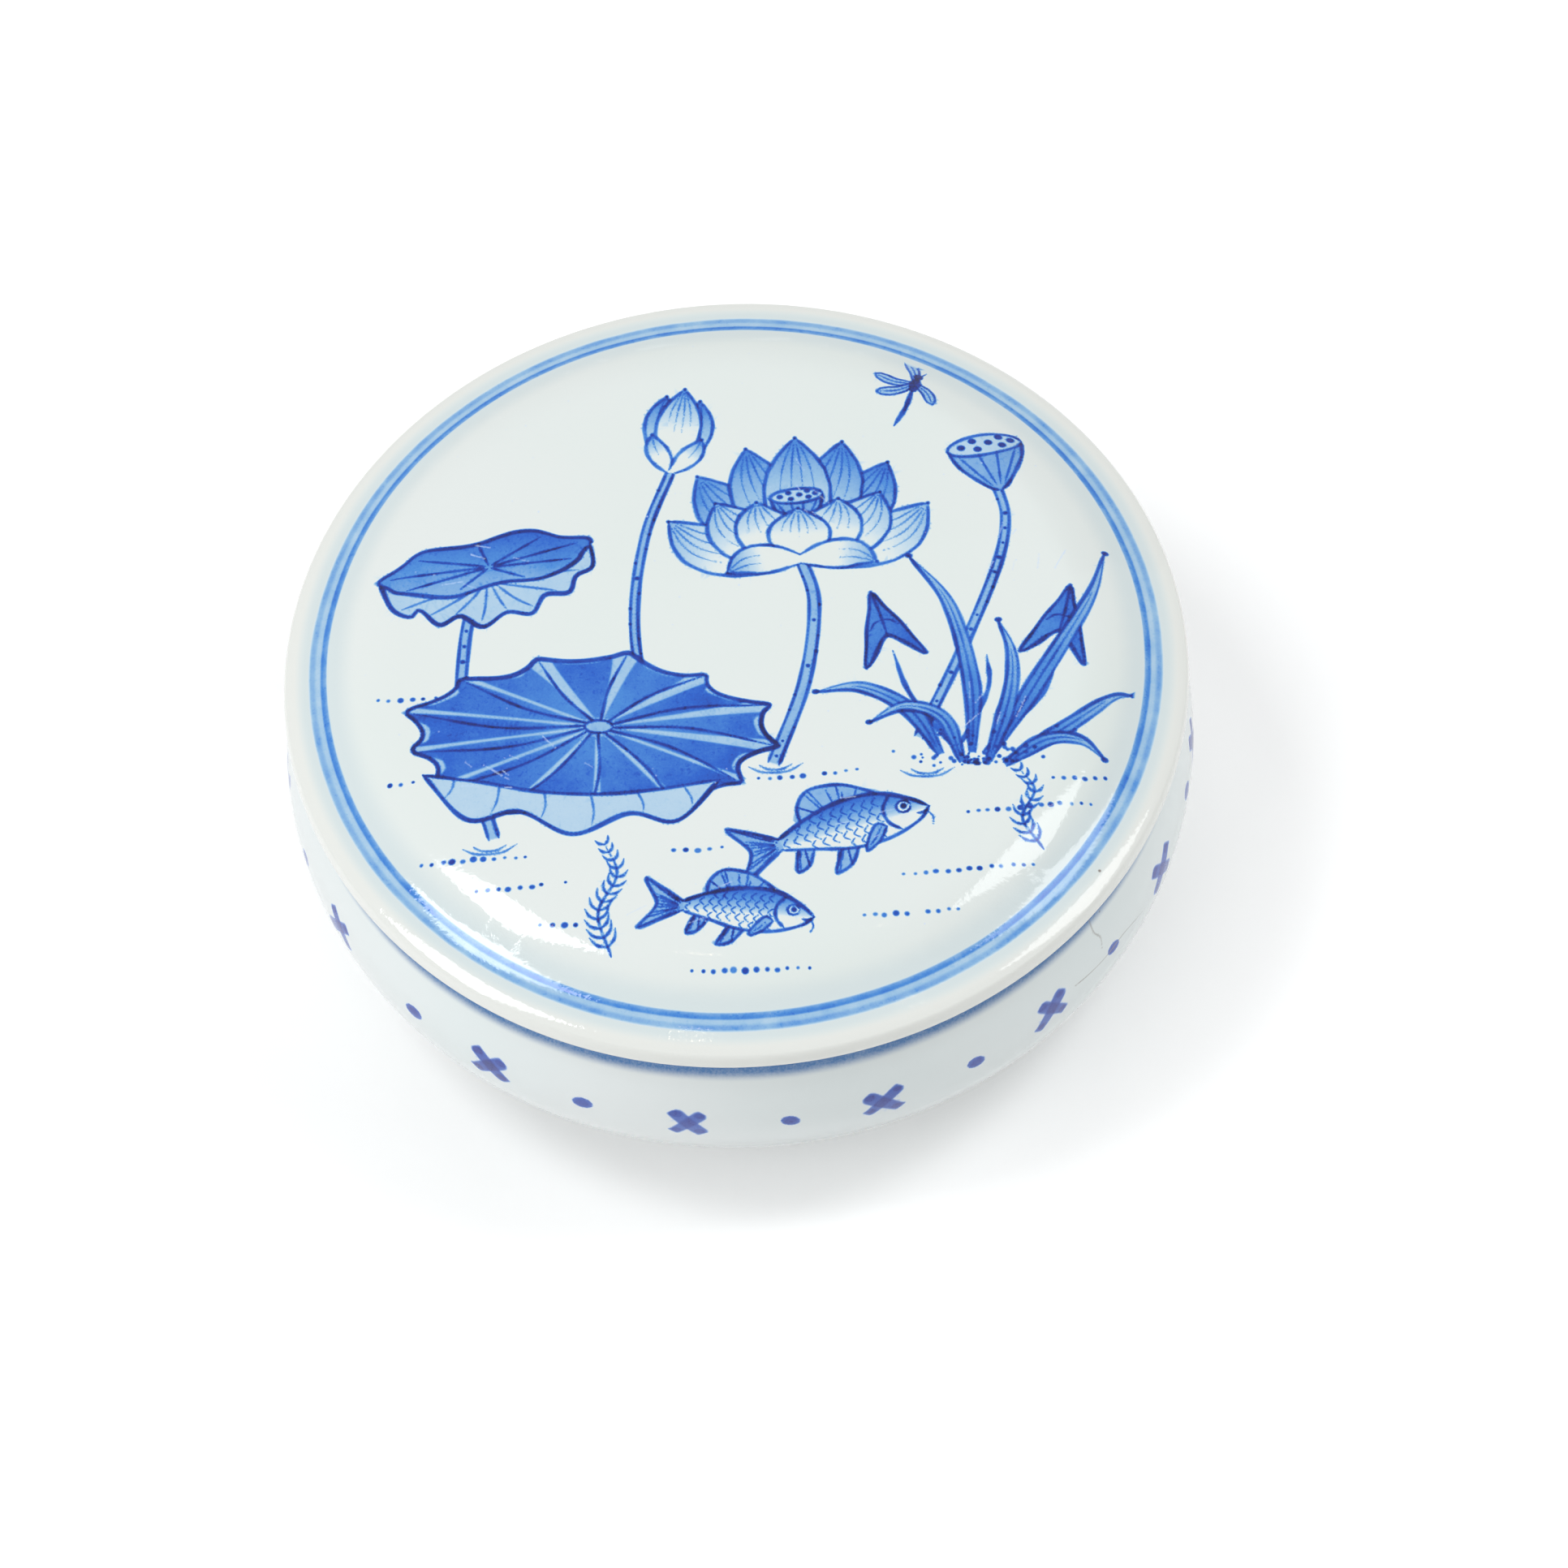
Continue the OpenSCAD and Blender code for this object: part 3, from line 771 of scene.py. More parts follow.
def drawRoundLeaf(art, v):
    at, turn, wide, high = v["at"], v["turn"], v["wide"], v["high"]
    edge = leafEdge(v)
    outline = placed(edge, at, turn)
    art.patch(outline, 0.2)
    middle = np.array((v["hubAt"][0] * wide, v["hubAt"][1] * high))
    centre = placed([middle], at, turn)[0]
    edgeTurns = np.arctan2(edge[:, 1] / high, edge[:, 0] / wide)
    turns = [2 * math.pi * (k - v["phase"] / math.pi) / v["veins"] for k in range(v["veins"] + 1)]

    def onEdge(a):
        return edge[int(np.argmin(np.abs(np.angle(np.exp(1j * (edgeTurns - a))))))]
    for a, b in zip(turns, turns[1:]):  # dark panels between pale veins
        rim = [onEdge(a + (b - a) * f) for f in (0.1, 0.3, 0.5, 0.7, 0.9)]
        near = [middle + (onEdge(a + (b - a) * f) - middle) * 0.16 for f in (0.8, 0.5, 0.2)]
        panel = placed([middle + (p - middle) * 0.955 for p in rim] + near, at, turn)
        tone = art.dice.uniform(0.85, 1.12)
        art.fill(panel, v["ink"], soft=0.13, shade=lambda p, tone=tone: tone * np.clip(
            0.72 + 0.5 * np.hypot(*((p - centre) / wide).T), 0.7, 1.25))
    for a in turns[:-1]:
        along = onEdge(a) - middle
        bow = along[::-1] * (-1, 1) * 0.05
        vein = [middle + along * 0.06, middle + along * 0.5 + bow, middle + along * 0.98]
        art.line(placed(vein, at, turn), 0.26, 0.8, (0.05, 0.3))
    art.line(looped(outline, 2), 0.42, 0.82, (0.005, 0.005))
    hub = placed(oval(v["hub"] * wide, v["hub"] * high, 8, middle), at, turn)
    art.patch(hub, 0.25)
    art.line(looped(hub), 0.24, 0.8, (0.01, 0.01))


def drawFold(art, v):  # the pale back of the leaf, along the edge that is turned up
    outer, inner = smoothPath(v["foldOuter"]), smoothPath(v["foldInner"])
    art.patch(np.vstack([outer, inner[::-1]]), pond["fold"], curve=False, soft=0.1)
    for k in range(v["foldVeins"]):
        f = (k + 0.7) / (v["foldVeins"] + 0.4)
        a, b = outer[int(f * (len(outer) - 1))], inner[int(f * (len(inner) - 1))]
        art.line([b, (a + b) / 2 + (0.25, 0), a + (b - a) * 0.12], 0.2, 0.5, (0.1, 0.5))
    art.line(v["foldOuter"], 0.42, 0.8, (0.03, 0.03))
    art.line(v["foldInner"], 0.34, 0.75, (0.05, 0.05))


def drawBowlLeaf(art, at, turn, size):  # a leaf seen from the side
    turned = partial(placed, at=at, turn=turn, size=size)
    skirt = turned([(-10.6, 1.2), (-9.9, -2.2), (-8.3, -3.6), (-7.2, -3.0), (-5.6, -5.2), (-3.4, -4.6),
                    (-1.4, -6.4), (1.2, -5.2), (3.6, -5.9), (5.2, -4.0), (7.6, -4.2), (8.6, -2.4),
                    (10.4, -1.6), (10.6, 1.2), (6, 2.0), (0, 2.0), (-6, 2.0)])
    art.patch(skirt, pond["back"], soft=0.12)
    for x, y in ((-9.0, -2.6), (-6.4, -4.0), (-3.8, -4.4), (-1.4, -5.8), (1.2, -4.9), (3.8, -5.2),
                 (6.4, -3.8), (9.0, -1.8)):
        art.line(turned([(x * 0.18, -1.7), (x * 0.6, y * 0.72), (x, y * 0.97)]), 0.22, 0.5, (0.3, 0.2))
    art.line(skirt[:14], 0.42, 0.82, (0.02, 0.02))
    rim = turned([((10.5 + 0.5 * math.sin(7 * a)) * math.cos(a),
                   (3.0 + 0.45 * math.sin(6 * a + 1)) * math.sin(a) + 1.0)
                  for a in np.linspace(0, 2 * math.pi, 36, endpoint=False)])
    art.patch(rim, pond["bowl"], soft=0.13,
              shade=lambda p: np.clip(0.85 + 0.1 * (p[:, 1] - at[1] - 1) / size, 0.6, 1.2))
    for k in range(9):
        a = 2 * math.pi * (k + 0.3) / 9
        start = (0.3 + 0.5 * math.cos(a), 0.6 + 0.2 * math.sin(a))
        art.line(turned([start, (9.6 * math.cos(a), 1.0 + 2.6 * math.sin(a))]), 0.24, 0.78, (0.05, 0.3))
    art.line(looped(rim), 0.38, 0.8, (0.005, 0.005))


def drawArrowLeaf(art, at, turn, size):
    turned = partial(placed, at=at, turn=turn, size=size)
    outline = turned([(0, 5.2), (0.9, 2.8), (1.9, 0.6), (2.6, -1.6), (3.5, -4.6), (1.9, -3.0), (0.7, -1.5),
                      (0, -1.0), (-0.8, -1.6), (-1.9, -3.1), (-3.6, -4.4), (-2.6, -1.4), (-1.9, 0.7),
                      (-0.9, 2.9)])
    art.patch(outline, pond["arrow"], soft=0.12,
              shade=lambda p: np.clip(1 + 0.05 * (p[:, 0] - at[0]), 0.8, 1.2))
    art.line(turned([(0, 5), (0.1, 2), (0, -1)]), 0.26, 0.85, (0.1, 0.3))
    for sign in (-1, 1):
        art.line(turned([(0, -0.6), (sign * 1.4, -2.0), (sign * 3.2, -4.3)]), 0.22, 0.82)
        art.line(turned([(0, 1.2), (sign * 0.9, 1.0), (sign * 1.6, 0.2)]), 0.18, 0.8)
    art.line(looped(smoothPath(outline, closed=True), 2), 0.3, 0.85, (0.01, 0.01), curve=False)


def drawFish(art, v, at, turn, size):
    turned = partial(placed, at=at, turn=turn, size=size)
    for k, (fin, root) in enumerate(v["fins"]):
        outline = turned(fin)
        art.patch(outline, 0.3, soft=0.1)
        tips = fin[1:-1]
        for tip in tips:
            for x, y in (tip, ((tip[0] * 3 + tips[0][0]) / 4, (tip[1] * 3 + tips[0][1]) / 4)):
                foot = (x * 0.55 + root[0] * 0.45, root[1])
                if k == 0:  # the tail's rays meet at its root
                    foot = (root[0] + (x - root[0]) * 0.2, root[1] + (y - root[1]) * 0.2)
                half = ((foot[0] + x) / 2, (foot[1] + y) / 2)
                art.line(turned([foot, half, (x, y)]), 0.16, 0.62, (0.2, 0.2))
        art.line(outline, 0.3, 0.74, (0.05, 0.05))
    body = np.vstack([smoothPath(turned(v["back"])), smoothPath(turned(v["belly"]))[1:-1]])
    up = placed([(0, 1)], (0, 0), turn)[0]
    art.patch(body, 0.62, curve=False, soft=0.12,
              shade=lambda p: np.clip(((p - np.array(at)) @ up / size + 0.4) / 3.2, 0, 1) ** 0.7)
    wide, high = v["scaleStep"]
    for row in range(v["scaleRows"]):
        y = 1.9 - row * high
        for k in range(v["scalesInRow"]):
            x = -6.3 + k * wide + (wide / 2 if row % 2 else 0)
            top = np.interp(x, *zip(*v["back"]))
            bottom = np.interp(x, *zip(*v["belly"][::-1]))
            if x < 3.9 and bottom + 0.55 < y < top - 0.45:
                art.line(turned([(x, y + 0.5), (x - 0.5, y), (x, y - 0.5)]), 0.15, 0.66, (0.2, 0.2))
    art.line(turned(v["back"]), 0.4, 0.85, (0.05, 0.05))
    art.line(turned(v["belly"]), 0.3, 0.72, (0.05, 0.05))
    art.line(turned(v["gill"]), 0.3, 0.78, (0.1, 0.1))
    eye = turned(oval(0.75, 0.7, 10, (6.3, 0.55)))
    art.wipe(eye)
    art.line(looped(eye), 0.2, 0.85, (0.01, 0.01))
    art.dot(turned([(6.35, 0.6)])[0], 0.36 * size, 0.95)
    art.line(turned(v["mouth"]), 0.22, 0.8, (0.1, 0.3))
    art.line(turned(v["barbel"]), 0.16, 0.65, (0.1, 0.5))
    side = turned(v["sideFin"])
    art.patch(side, 0.32, soft=0.1)
    art.line(looped(side), 0.24, 0.75, (0.02, 0.02))
    art.line(turned(v["sideRay"]), 0.15, 0.6)


def drawDragonfly(art, at, turn, size):
    turned = partial(placed, at=at, turn=turn, size=size)
    for tip, bend in (((-3.2, 3.6), 0.5), ((1.4, 4.4), -0.4), ((-4.4, 1.0), 0.5), ((0.4, -3.6), 0.4)):
        base = np.array((0.2, 0.2))
        axis = np.array(tip) - base
        bow = np.array([-axis[1], axis[0]]) / np.linalg.norm(axis) * bend
        spine, _, _, outline = ribbon(turned([base, base + axis * 0.5 + bow, tip]), 1.25 * size,
                                      ((0, 0.3), (0.3, 0.75), (0.7, 1), (0.92, 0.7), (1, 0.1)))
        art.patch(outline, 0.2, curve=False)
        art.line(looped(outline), 0.2, 0.72, (0.02, 0.02), curve=False)
        art.line(spine[1:-1], 0.15, 0.6, curve=False)
    art.line(turned([(0.8, 0.9), (0, 0), (-0.8, -0.8)]), 0.95, 0.8, (0.3, 0.3))
    art.line(turned([(-0.7, -0.7), (-2.6, -2.7), (-5.0, -4.4)]), 0.45, 0.82, (0.1, 0.2))
    art.dot(turned([(1.1, 1.2)])[0], 0.5, 0.9)
    art.line(turned([(1.3, 1.5), (1.9, 2.4)]), 0.15, 0.8)
    art.line(turned([(1.5, 1.2), (2.4, 1.6)]), 0.15, 0.8)


def drawDots(art, start, end):  # a row of dots for still water, largest near its middle
    count = max(3, int(np.hypot(end[0] - start[0], end[1] - start[1]) / 0.98))
    for k in range(count + 1):
        t = k / count
        if art.dice.random() < 0.06:
            continue
        swell = math.exp(-((t - 0.45) / 0.33) ** 2)
        r = 0.13 + 0.17 * swell * art.dice.uniform(0.5, 1.25)
        x = start[0] + (end[0] - start[0]) * t + art.dice.uniform(-0.12, 0.12)
        y = start[1] + (end[1] - start[1]) * t - 0.2 * math.sin(math.pi * t) + art.dice.uniform(-0.1, 0.1)
        art.dot((x, y), r, art.dice.uniform(0.5, 0.88), long=art.dice.uniform(1, 1.25))


def drawMoss(art, middle, size, count):  # specks round the foot of a clump
    for _ in range(count):
        a, d = art.dice.uniform(0, 2 * math.pi), art.dice.gauss(0, 0.6)
        x = middle[0] + size[0] * d * math.cos(a)
        y = middle[1] + size[1] * 1.3 * abs(d * math.sin(a))
        art.dot((x, y), art.dice.uniform(0.12, 0.27), art.dice.uniform(0.6, 0.95))


def drawRipple(art, at, wide, high):  # two bows round a stem
    for k, s in enumerate((1, 0.6)):
        art.line([(at[0] - wide * s, at[1] + 0.1 * k), (at[0] - wide * s * 0.5, at[1] - high * s),
                  (at[0] + wide * s * 0.4, at[1] - high * s * 1.1), (at[0] + wide * s, at[1] + 0.05)],
                 0.22, 0.55, (0.25, 0.25))


def drawWeed(art, points, long):  # a water weed with paired leaves, shorter towards its tip
    spine = smoothPath(points, step=1.05)
    n = sideways(spine)
    art.line(points, 0.24, 0.7, (0.05, 0.3))
    for k in range(1, len(spine)):
        along = np.array([n[k][1], -n[k][0]])
        grow = long * (1 - 0.55 * k / len(spine))
        for sign in (-1, 1):
            art.line([spine[k], spine[k] + n[k] * sign * grow * 0.55 + along * grow * 0.35,
                      spine[k] + n[k] * sign * grow * 0.8 + along * grow * 0.95], 0.26, 0.7, (0.3, 0.5))


def lotusPond():
    art = Painting(7)
    drawStem(art, *pond["bowlStem"])
    drawBowlLeaf(art, *pond["bowlLeaf"])
    drawStem(art, *pond["budStem"])
    drawPetals(art, bud["petals"], bud["at"], bud["size"], bud["turn"])
    drawStem(art, *pond["blossomStem"])
    drawPetals(art, blossom["behind"], blossom["at"])
    drawPod(art, *blossom["pod"])
    drawPetals(art, blossom["inFront"], blossom["at"])
    drawStem(art, *pond["podStem"])
    drawPod(art, *pond["pod"])
    for stem in pond["arrowStems"]:
        art.line(stem, 0.42, 0.7, (0.1, 0.2))
    for leaf in pond["arrowLeaves"]:
        drawArrowLeaf(art, *leaf)
    for reed in pond["reeds"]:
        drawBlade(art, *reed)
    drawMoss(art, *pond["moss"])
    drawRoundLeaf(art, roundLeaf)
    drawFold(art, roundLeaf)
    for weed in pond["weeds"]:
        drawWeed(art, *weed)
    for place in pond["fish"]:
        drawFish(art, fish, *place)
    for ends in pond["stillWater"]:
        drawDots(art, *ends)
    for at in pond["ripples"]:
        drawRipple(art, at, *pond["ripple"])
    drawDragonfly(art, *pond["dragonfly"])
    print("lotus pond drawn:", len(art.marks), "brush marks")
    return art


# The dish's band of crosses and dots, on the side rolled out flat: degrees round from the front, height

ornament = {
    "crosses": [(-87.1, 19.6), (-63.7, 19.5), (-35.7, 19.3), (-9.6, 19.0), (15.0, 19.2), (39.1, 19.7),
                (63.8, 20.1), (82.8, 20.3), (110, 20.2), (137, 19.9), (164, 19.6), (-169, 19.4),
                (-142, 19.3), (-114, 19.5)],
    "dots": [(-74.8, 19.7), (-47.9, 19.6), (-22.9, 19.3), (3.0, 19.2), (27.2, 19.5), (50.7, 20.0),
             (75.4, 20.4), (96, 20.4), (124, 20.1), (150, 19.8), (177, 19.6), (-155, 19.3),
             (-128, 19.4), (-101, 19.6)],
    "crossWide": 3.45, "crossHigh": 3.4, "stroke": 1.4, "dot": 0.82, "ink": 0.6, "shake": 0.3,
    "square": (0.3, 0.34), "waves": (0.09, 0.06), "soft": 0.16,  # a dab's ends and sides, and its edge
    "poolAt": (-0.78, 0.74), "poolInk": 0.75,
    "crack": [[(48.4, 26.2), (48.2, 24.4), (48.9, 23.2), (48.7, 21.8)],
              [(43.2, 20.4), (46.0, 20.1), (49.0, 19.95), (53.1, 20.1), (58.1, 19.1)]],
}


def drawDab(art, v, a, b, width):  # one press of a flat brush: blunt, uneven, darker at its ends
    middle, half = (a + b) / 2, (b - a) / 2
    out = np.array([-half[1], half[0]]) / np.linalg.norm(half) * width / 2
    phase = art.dice.uniform(0, 6.3)
    outline = []
    for t in np.linspace(0, 2 * math.pi, 28, endpoint=False):
        c, s = math.cos(t), math.sin(t)
        swell = 1 + v["waves"][0] * math.sin(3 * t + phase) + v["waves"][1] * math.sin(5 * t - phase)
        outline.append(middle + half * math.copysign(abs(c) ** v["square"][0], c)
                       + out * math.copysign(abs(s) ** v["square"][1], s) * swell)
    art.fill(outline, v["ink"], soft=v["soft"], curve=False)
    for end in v["poolAt"]:
        size = width * art.dice.uniform(0.26, 0.36)
        art.dot(middle + half * end, size, v["ink"] * v["poolInk"], long=1.2)


def crossesAndDots(v, middleZ, sideR, bellyR):
    art = Painting(11)

    def flat(at):
        return (math.radians(at[0]) * bellyR, sideR * math.asin((at[1] - middleZ) / sideR))

    def nudged(x, y):
        return np.array((x + art.dice.uniform(-v["shake"], v["shake"]),
                         y + art.dice.uniform(-v["shake"], v["shake"])))
    for at in v["crosses"]:
        x, y = flat(at)
        for lean in (1, -1):
            dx, dy = v["crossWide"] / 2 * lean, v["crossHigh"] / 2
            start, end = nudged(x - dx, y + dy), nudged(x + dx, y - dy)
            drawDab(art, v, start, end, v["stroke"] * art.dice.uniform(0.88, 1.12))
    for at in v["dots"]:
        size = v["dot"] * art.dice.uniform(0.88, 1.12)
        art.dot(flat(at), size, v["ink"], long=1.25, turn=art.dice.uniform(-40, 20))
        art.dot(flat(at), size * 0.62, 0.3, long=1.3, turn=20)
    for crack in v["crack"]:
        art.line([flat(at) for at in crack], 0.15, 0.6, (0.05, 0.4), channel=1)
    return art


# Porcelain: cobalt painted on white clay, under a clear glaze that leaves the seat and the foot bare

glaze = {
    "clay": srgb(216, 208, 192), "burnt": srgb(190, 140, 98), "speck": srgb(96, 74, 60),
    "roughness": 0.055, "clayRoughness": 0.62, "ior": 1.5,
    "gritHigh": 0.05, "pitDeep": 0.02, "lineFade": 0.2,  # mm
    # how dark the blue is, and how much the noises add to it
    "even": 0.5, "cloudy": 0.34, "pooled": 0.34, "grainy": 0.26, "heaped": 0.14,
    "heapsFrom": (0.56, 0.7), "tintFrom": (0.3, 0.75), "washFrom": (0.0, 0.09),
    "speckInk": 0.8, "burntInk": 0.55,
    # noise over the glaze: scale, detail, roughness
    "cloud": (380, 3, 0.55), "grain": (4200, 2, 0.65), "pool": (130, 2, 0.5), "heaps": (2300, 2, 0.6),
    "wander": (60, 2, 0.5), "tint": (26, 2, 0.5), "peel": (1500, 2, 0.6), "grit": (5200, 2, 0.7),
    # spots in the glaze: scale, radius, share of the cells that hold one
    "fineSpecks": (210, 0.055, 0.06), "coarseSpecks": (90, 0.03, 0.1), "pits": (160, 0.05, 0.12),
}
coverPaint = {
    "white": srgb(209, 214, 212), "pool": srgb(205, 213, 210), "mark": srgb(178, 200, 232),
    "markRough": 0.3, "peel": 0.013,
    "edge": srgb(211, 213, 209), "edgeFrom": (41.3, 43.0),
    "coveGlazeAndShade": srgb(196, 206, 207), "coveGlazeAndShadeFrom": (36.6, 39.0), "coveGlazeAndShadeTo": (41.7, 42.9),  # darker, greener glaze in the cove: glaze pooled thicker there, and painted shade of the hollow
    "cobalt": [  # share of pigment, colour
        (0.0, srgb(207, 216, 216)), (0.1, srgb(176, 198, 213)), (0.22, srgb(136, 174, 206)),
        (0.42, srgb(64, 128, 198)), (0.62, srgb(18, 84, 184)), (0.82, srgb(8, 44, 142)),
        (1.0, srgb(4, 14, 76)),
    ],
}
dishPaint = {
    "white": srgb(208, 213, 213), "pool": srgb(203, 211, 211), "mark": srgb(132, 126, 120),
    "markRough": 0.12, "peel": 0.0012,
    "cobalt": [
        (0.0, srgb(207, 214, 216)), (0.15, srgb(160, 180, 212)), (0.35, srgb(86, 118, 186)),
        (0.6, srgb(50, 80, 164)), (0.8, srgb(34, 52, 138)), (1.0, srgb(20, 30, 102)),
    ],
}


def porcelain(name, v, paint, lines):
    g = Graph(name)
    place = g.wire("ShaderNodeTexCoord", output=3)
    spot = g.node("ShaderNodeSeparateXYZ", None, {0: place})
    x, y, z = (Wire(g, spot.outputs[i]) * (1 / mm) for i in range(3))  # in mm
    outward = (x * x + y * y) ** 0.5
    dabs = g.node("ShaderNodeAttribute", {"attribute_name": "paint"})
    parts = g.node("ShaderNodeSeparateColor", None, {0: Wire(g, dabs.outputs["Color"])})
    cobalt, bare, mark = (Wire(g, parts.outputs[i]) for i in range(3))
    cloud, grain, pool, heaps, wander, tint, peel, grit = (g.noise(place, *v[key]) for key in (
        "cloud", "grain", "pool", "heaps", "wander", "tint", "peel", "grit"))
    mouthLineAndShade = None
    for line in lines:  # drawn rings, each kept to a radius or a height
        across = (outward if line["along"] == "radius" else z) + (wander - 0.5) * line["wander"]
        low, high = line["at"] - line["half"], line["at"] + line["half"]
        ring = g.step(across, low - line["soft"], low) * (1 - g.step(across, high, high + line["soft"]))
        ring = ring * g.step(z, line["above"], line["above"] + v["lineFade"])
        ring = ring * g.step(outward, line["outside"] - v["lineFade"], line["outside"])
        ring = ring * (line["ink"] + (cloud - 0.5) * line["uneven"])
        if "tone" in line:
            mouthLineAndShade = (ring, line["tone"])
        else:
            cobalt = cobalt + ring * (1 - cobalt)
    pigment = cobalt * (v["even"] + cloud * v["cloudy"] + pool * v["pooled"] + grain * v["grainy"]
                        + g.step(heaps, *v["heapsFrom"]) * v["heaped"])
    ground = g.mix(g.step(tint, *v["tintFrom"]), paint["white"], paint["pool"])
    if "edge" in paint:
        ground = g.mix(g.step(outward, *paint["edgeFrom"]), ground, paint["edge"])
        # the cove drawn darker: glaze pooled thicker there, and painted shade of the hollow
        coveGlazeAndShade = g.step(outward, *paint["coveGlazeAndShadeFrom"]) * (1 - g.step(outward, *paint["coveGlazeAndShadeTo"]))
        ground = g.mix(coveGlazeAndShade, ground, paint["coveGlazeAndShade"])
    blue = g.wire("ShaderNodeValToRGB", {"stops": paint["cobalt"]}, {0: pigment})
    colour = g.mix(g.step(pigment, *v["washFrom"]), ground, blue)
    # the mouth line in its own tone: a real blue line, and painted shade under the cover's lip
    if mouthLineAndShade:
        colour = g.mix(mouthLineAndShade[0] * (0.75 + grain * 0.5), colour, mouthLineAndShade[1])
    specks = g.specks(place, *v["fineSpecks"]) + g.specks(place, *v["coarseSpecks"])
    colour = g.mix(specks * v["speckInk"], colour, v["speck"])
    colour = g.mix(mark, colour, paint["mark"])
    seam = bare * (1 - bare) * 4  # clay next to the glaze fires brown
    colour = g.mix(bare, colour, v["clay"])
    colour = g.mix(seam * v["burntInk"], colour, v["burnt"])
    rough = v["roughness"] + bare * (v["clayRoughness"] - v["roughness"]) + mark * paint["markRough"]
    pits = g.specks(place, *v["pits"])
    bump = g.wire("ShaderNodeBump", None, {
        "Strength": 1.0, "Distance": mm,
        "Height": peel * paint["peel"] + grit * bare * v["gritHigh"] - pits * v["pitDeep"]})
    shader = g.wire("ShaderNodeBsdfPrincipled", None, {
        "Base Color": colour, "Roughness": rough, "IOR": v["ior"], "Normal": bump})
    return g.finish(shader)


# Dish: the part's own outline, in mm, from the middle of the foot up the side and down into the well

dishShape = {
    "bellyR": 44.5, "height": 28.0, "sideR": 15.4, "wall": 3.4, "floor": 3.6, "wellCorner": 10.5,
    "rim": 4.0, "rimEdge": 0.8, "neck": 2.2, "neckBevel": 0.4, "footR": 29.0, "footH": 3.4,
    "footW": 2.6, "recess": 2.2, "footBevel": 0.5, "footLean": 12.0, "footRoot": 1.2,
    "paintFrom": -5.5, "grid": 0.9,  # where the painted stretch of the side starts, and its triangles
}
# The blue line round the mouth, drawn dark and wide with a soft fade, so that it also paints the shade
# under the cover's lip
dishLines = [{"along": "height", "at": 26.5, "half": 0.45, "soft": 1.15, "above": 10, "outside": 41.5,
              "ink": 0.95, "uneven": 0.3, "wander": 0.3, "tone": srgb(62, 108, 160)}]
sideCentre = (dishShape["bellyR"] - dishShape["sideR"], dishShape["footH"] + dishShape["sideR"])
rimR = sideCentre[0] + reach(dishShape["sideR"], dishShape["height"] - sideCentre[1])
neckR = rimR - dishShape["rim"]


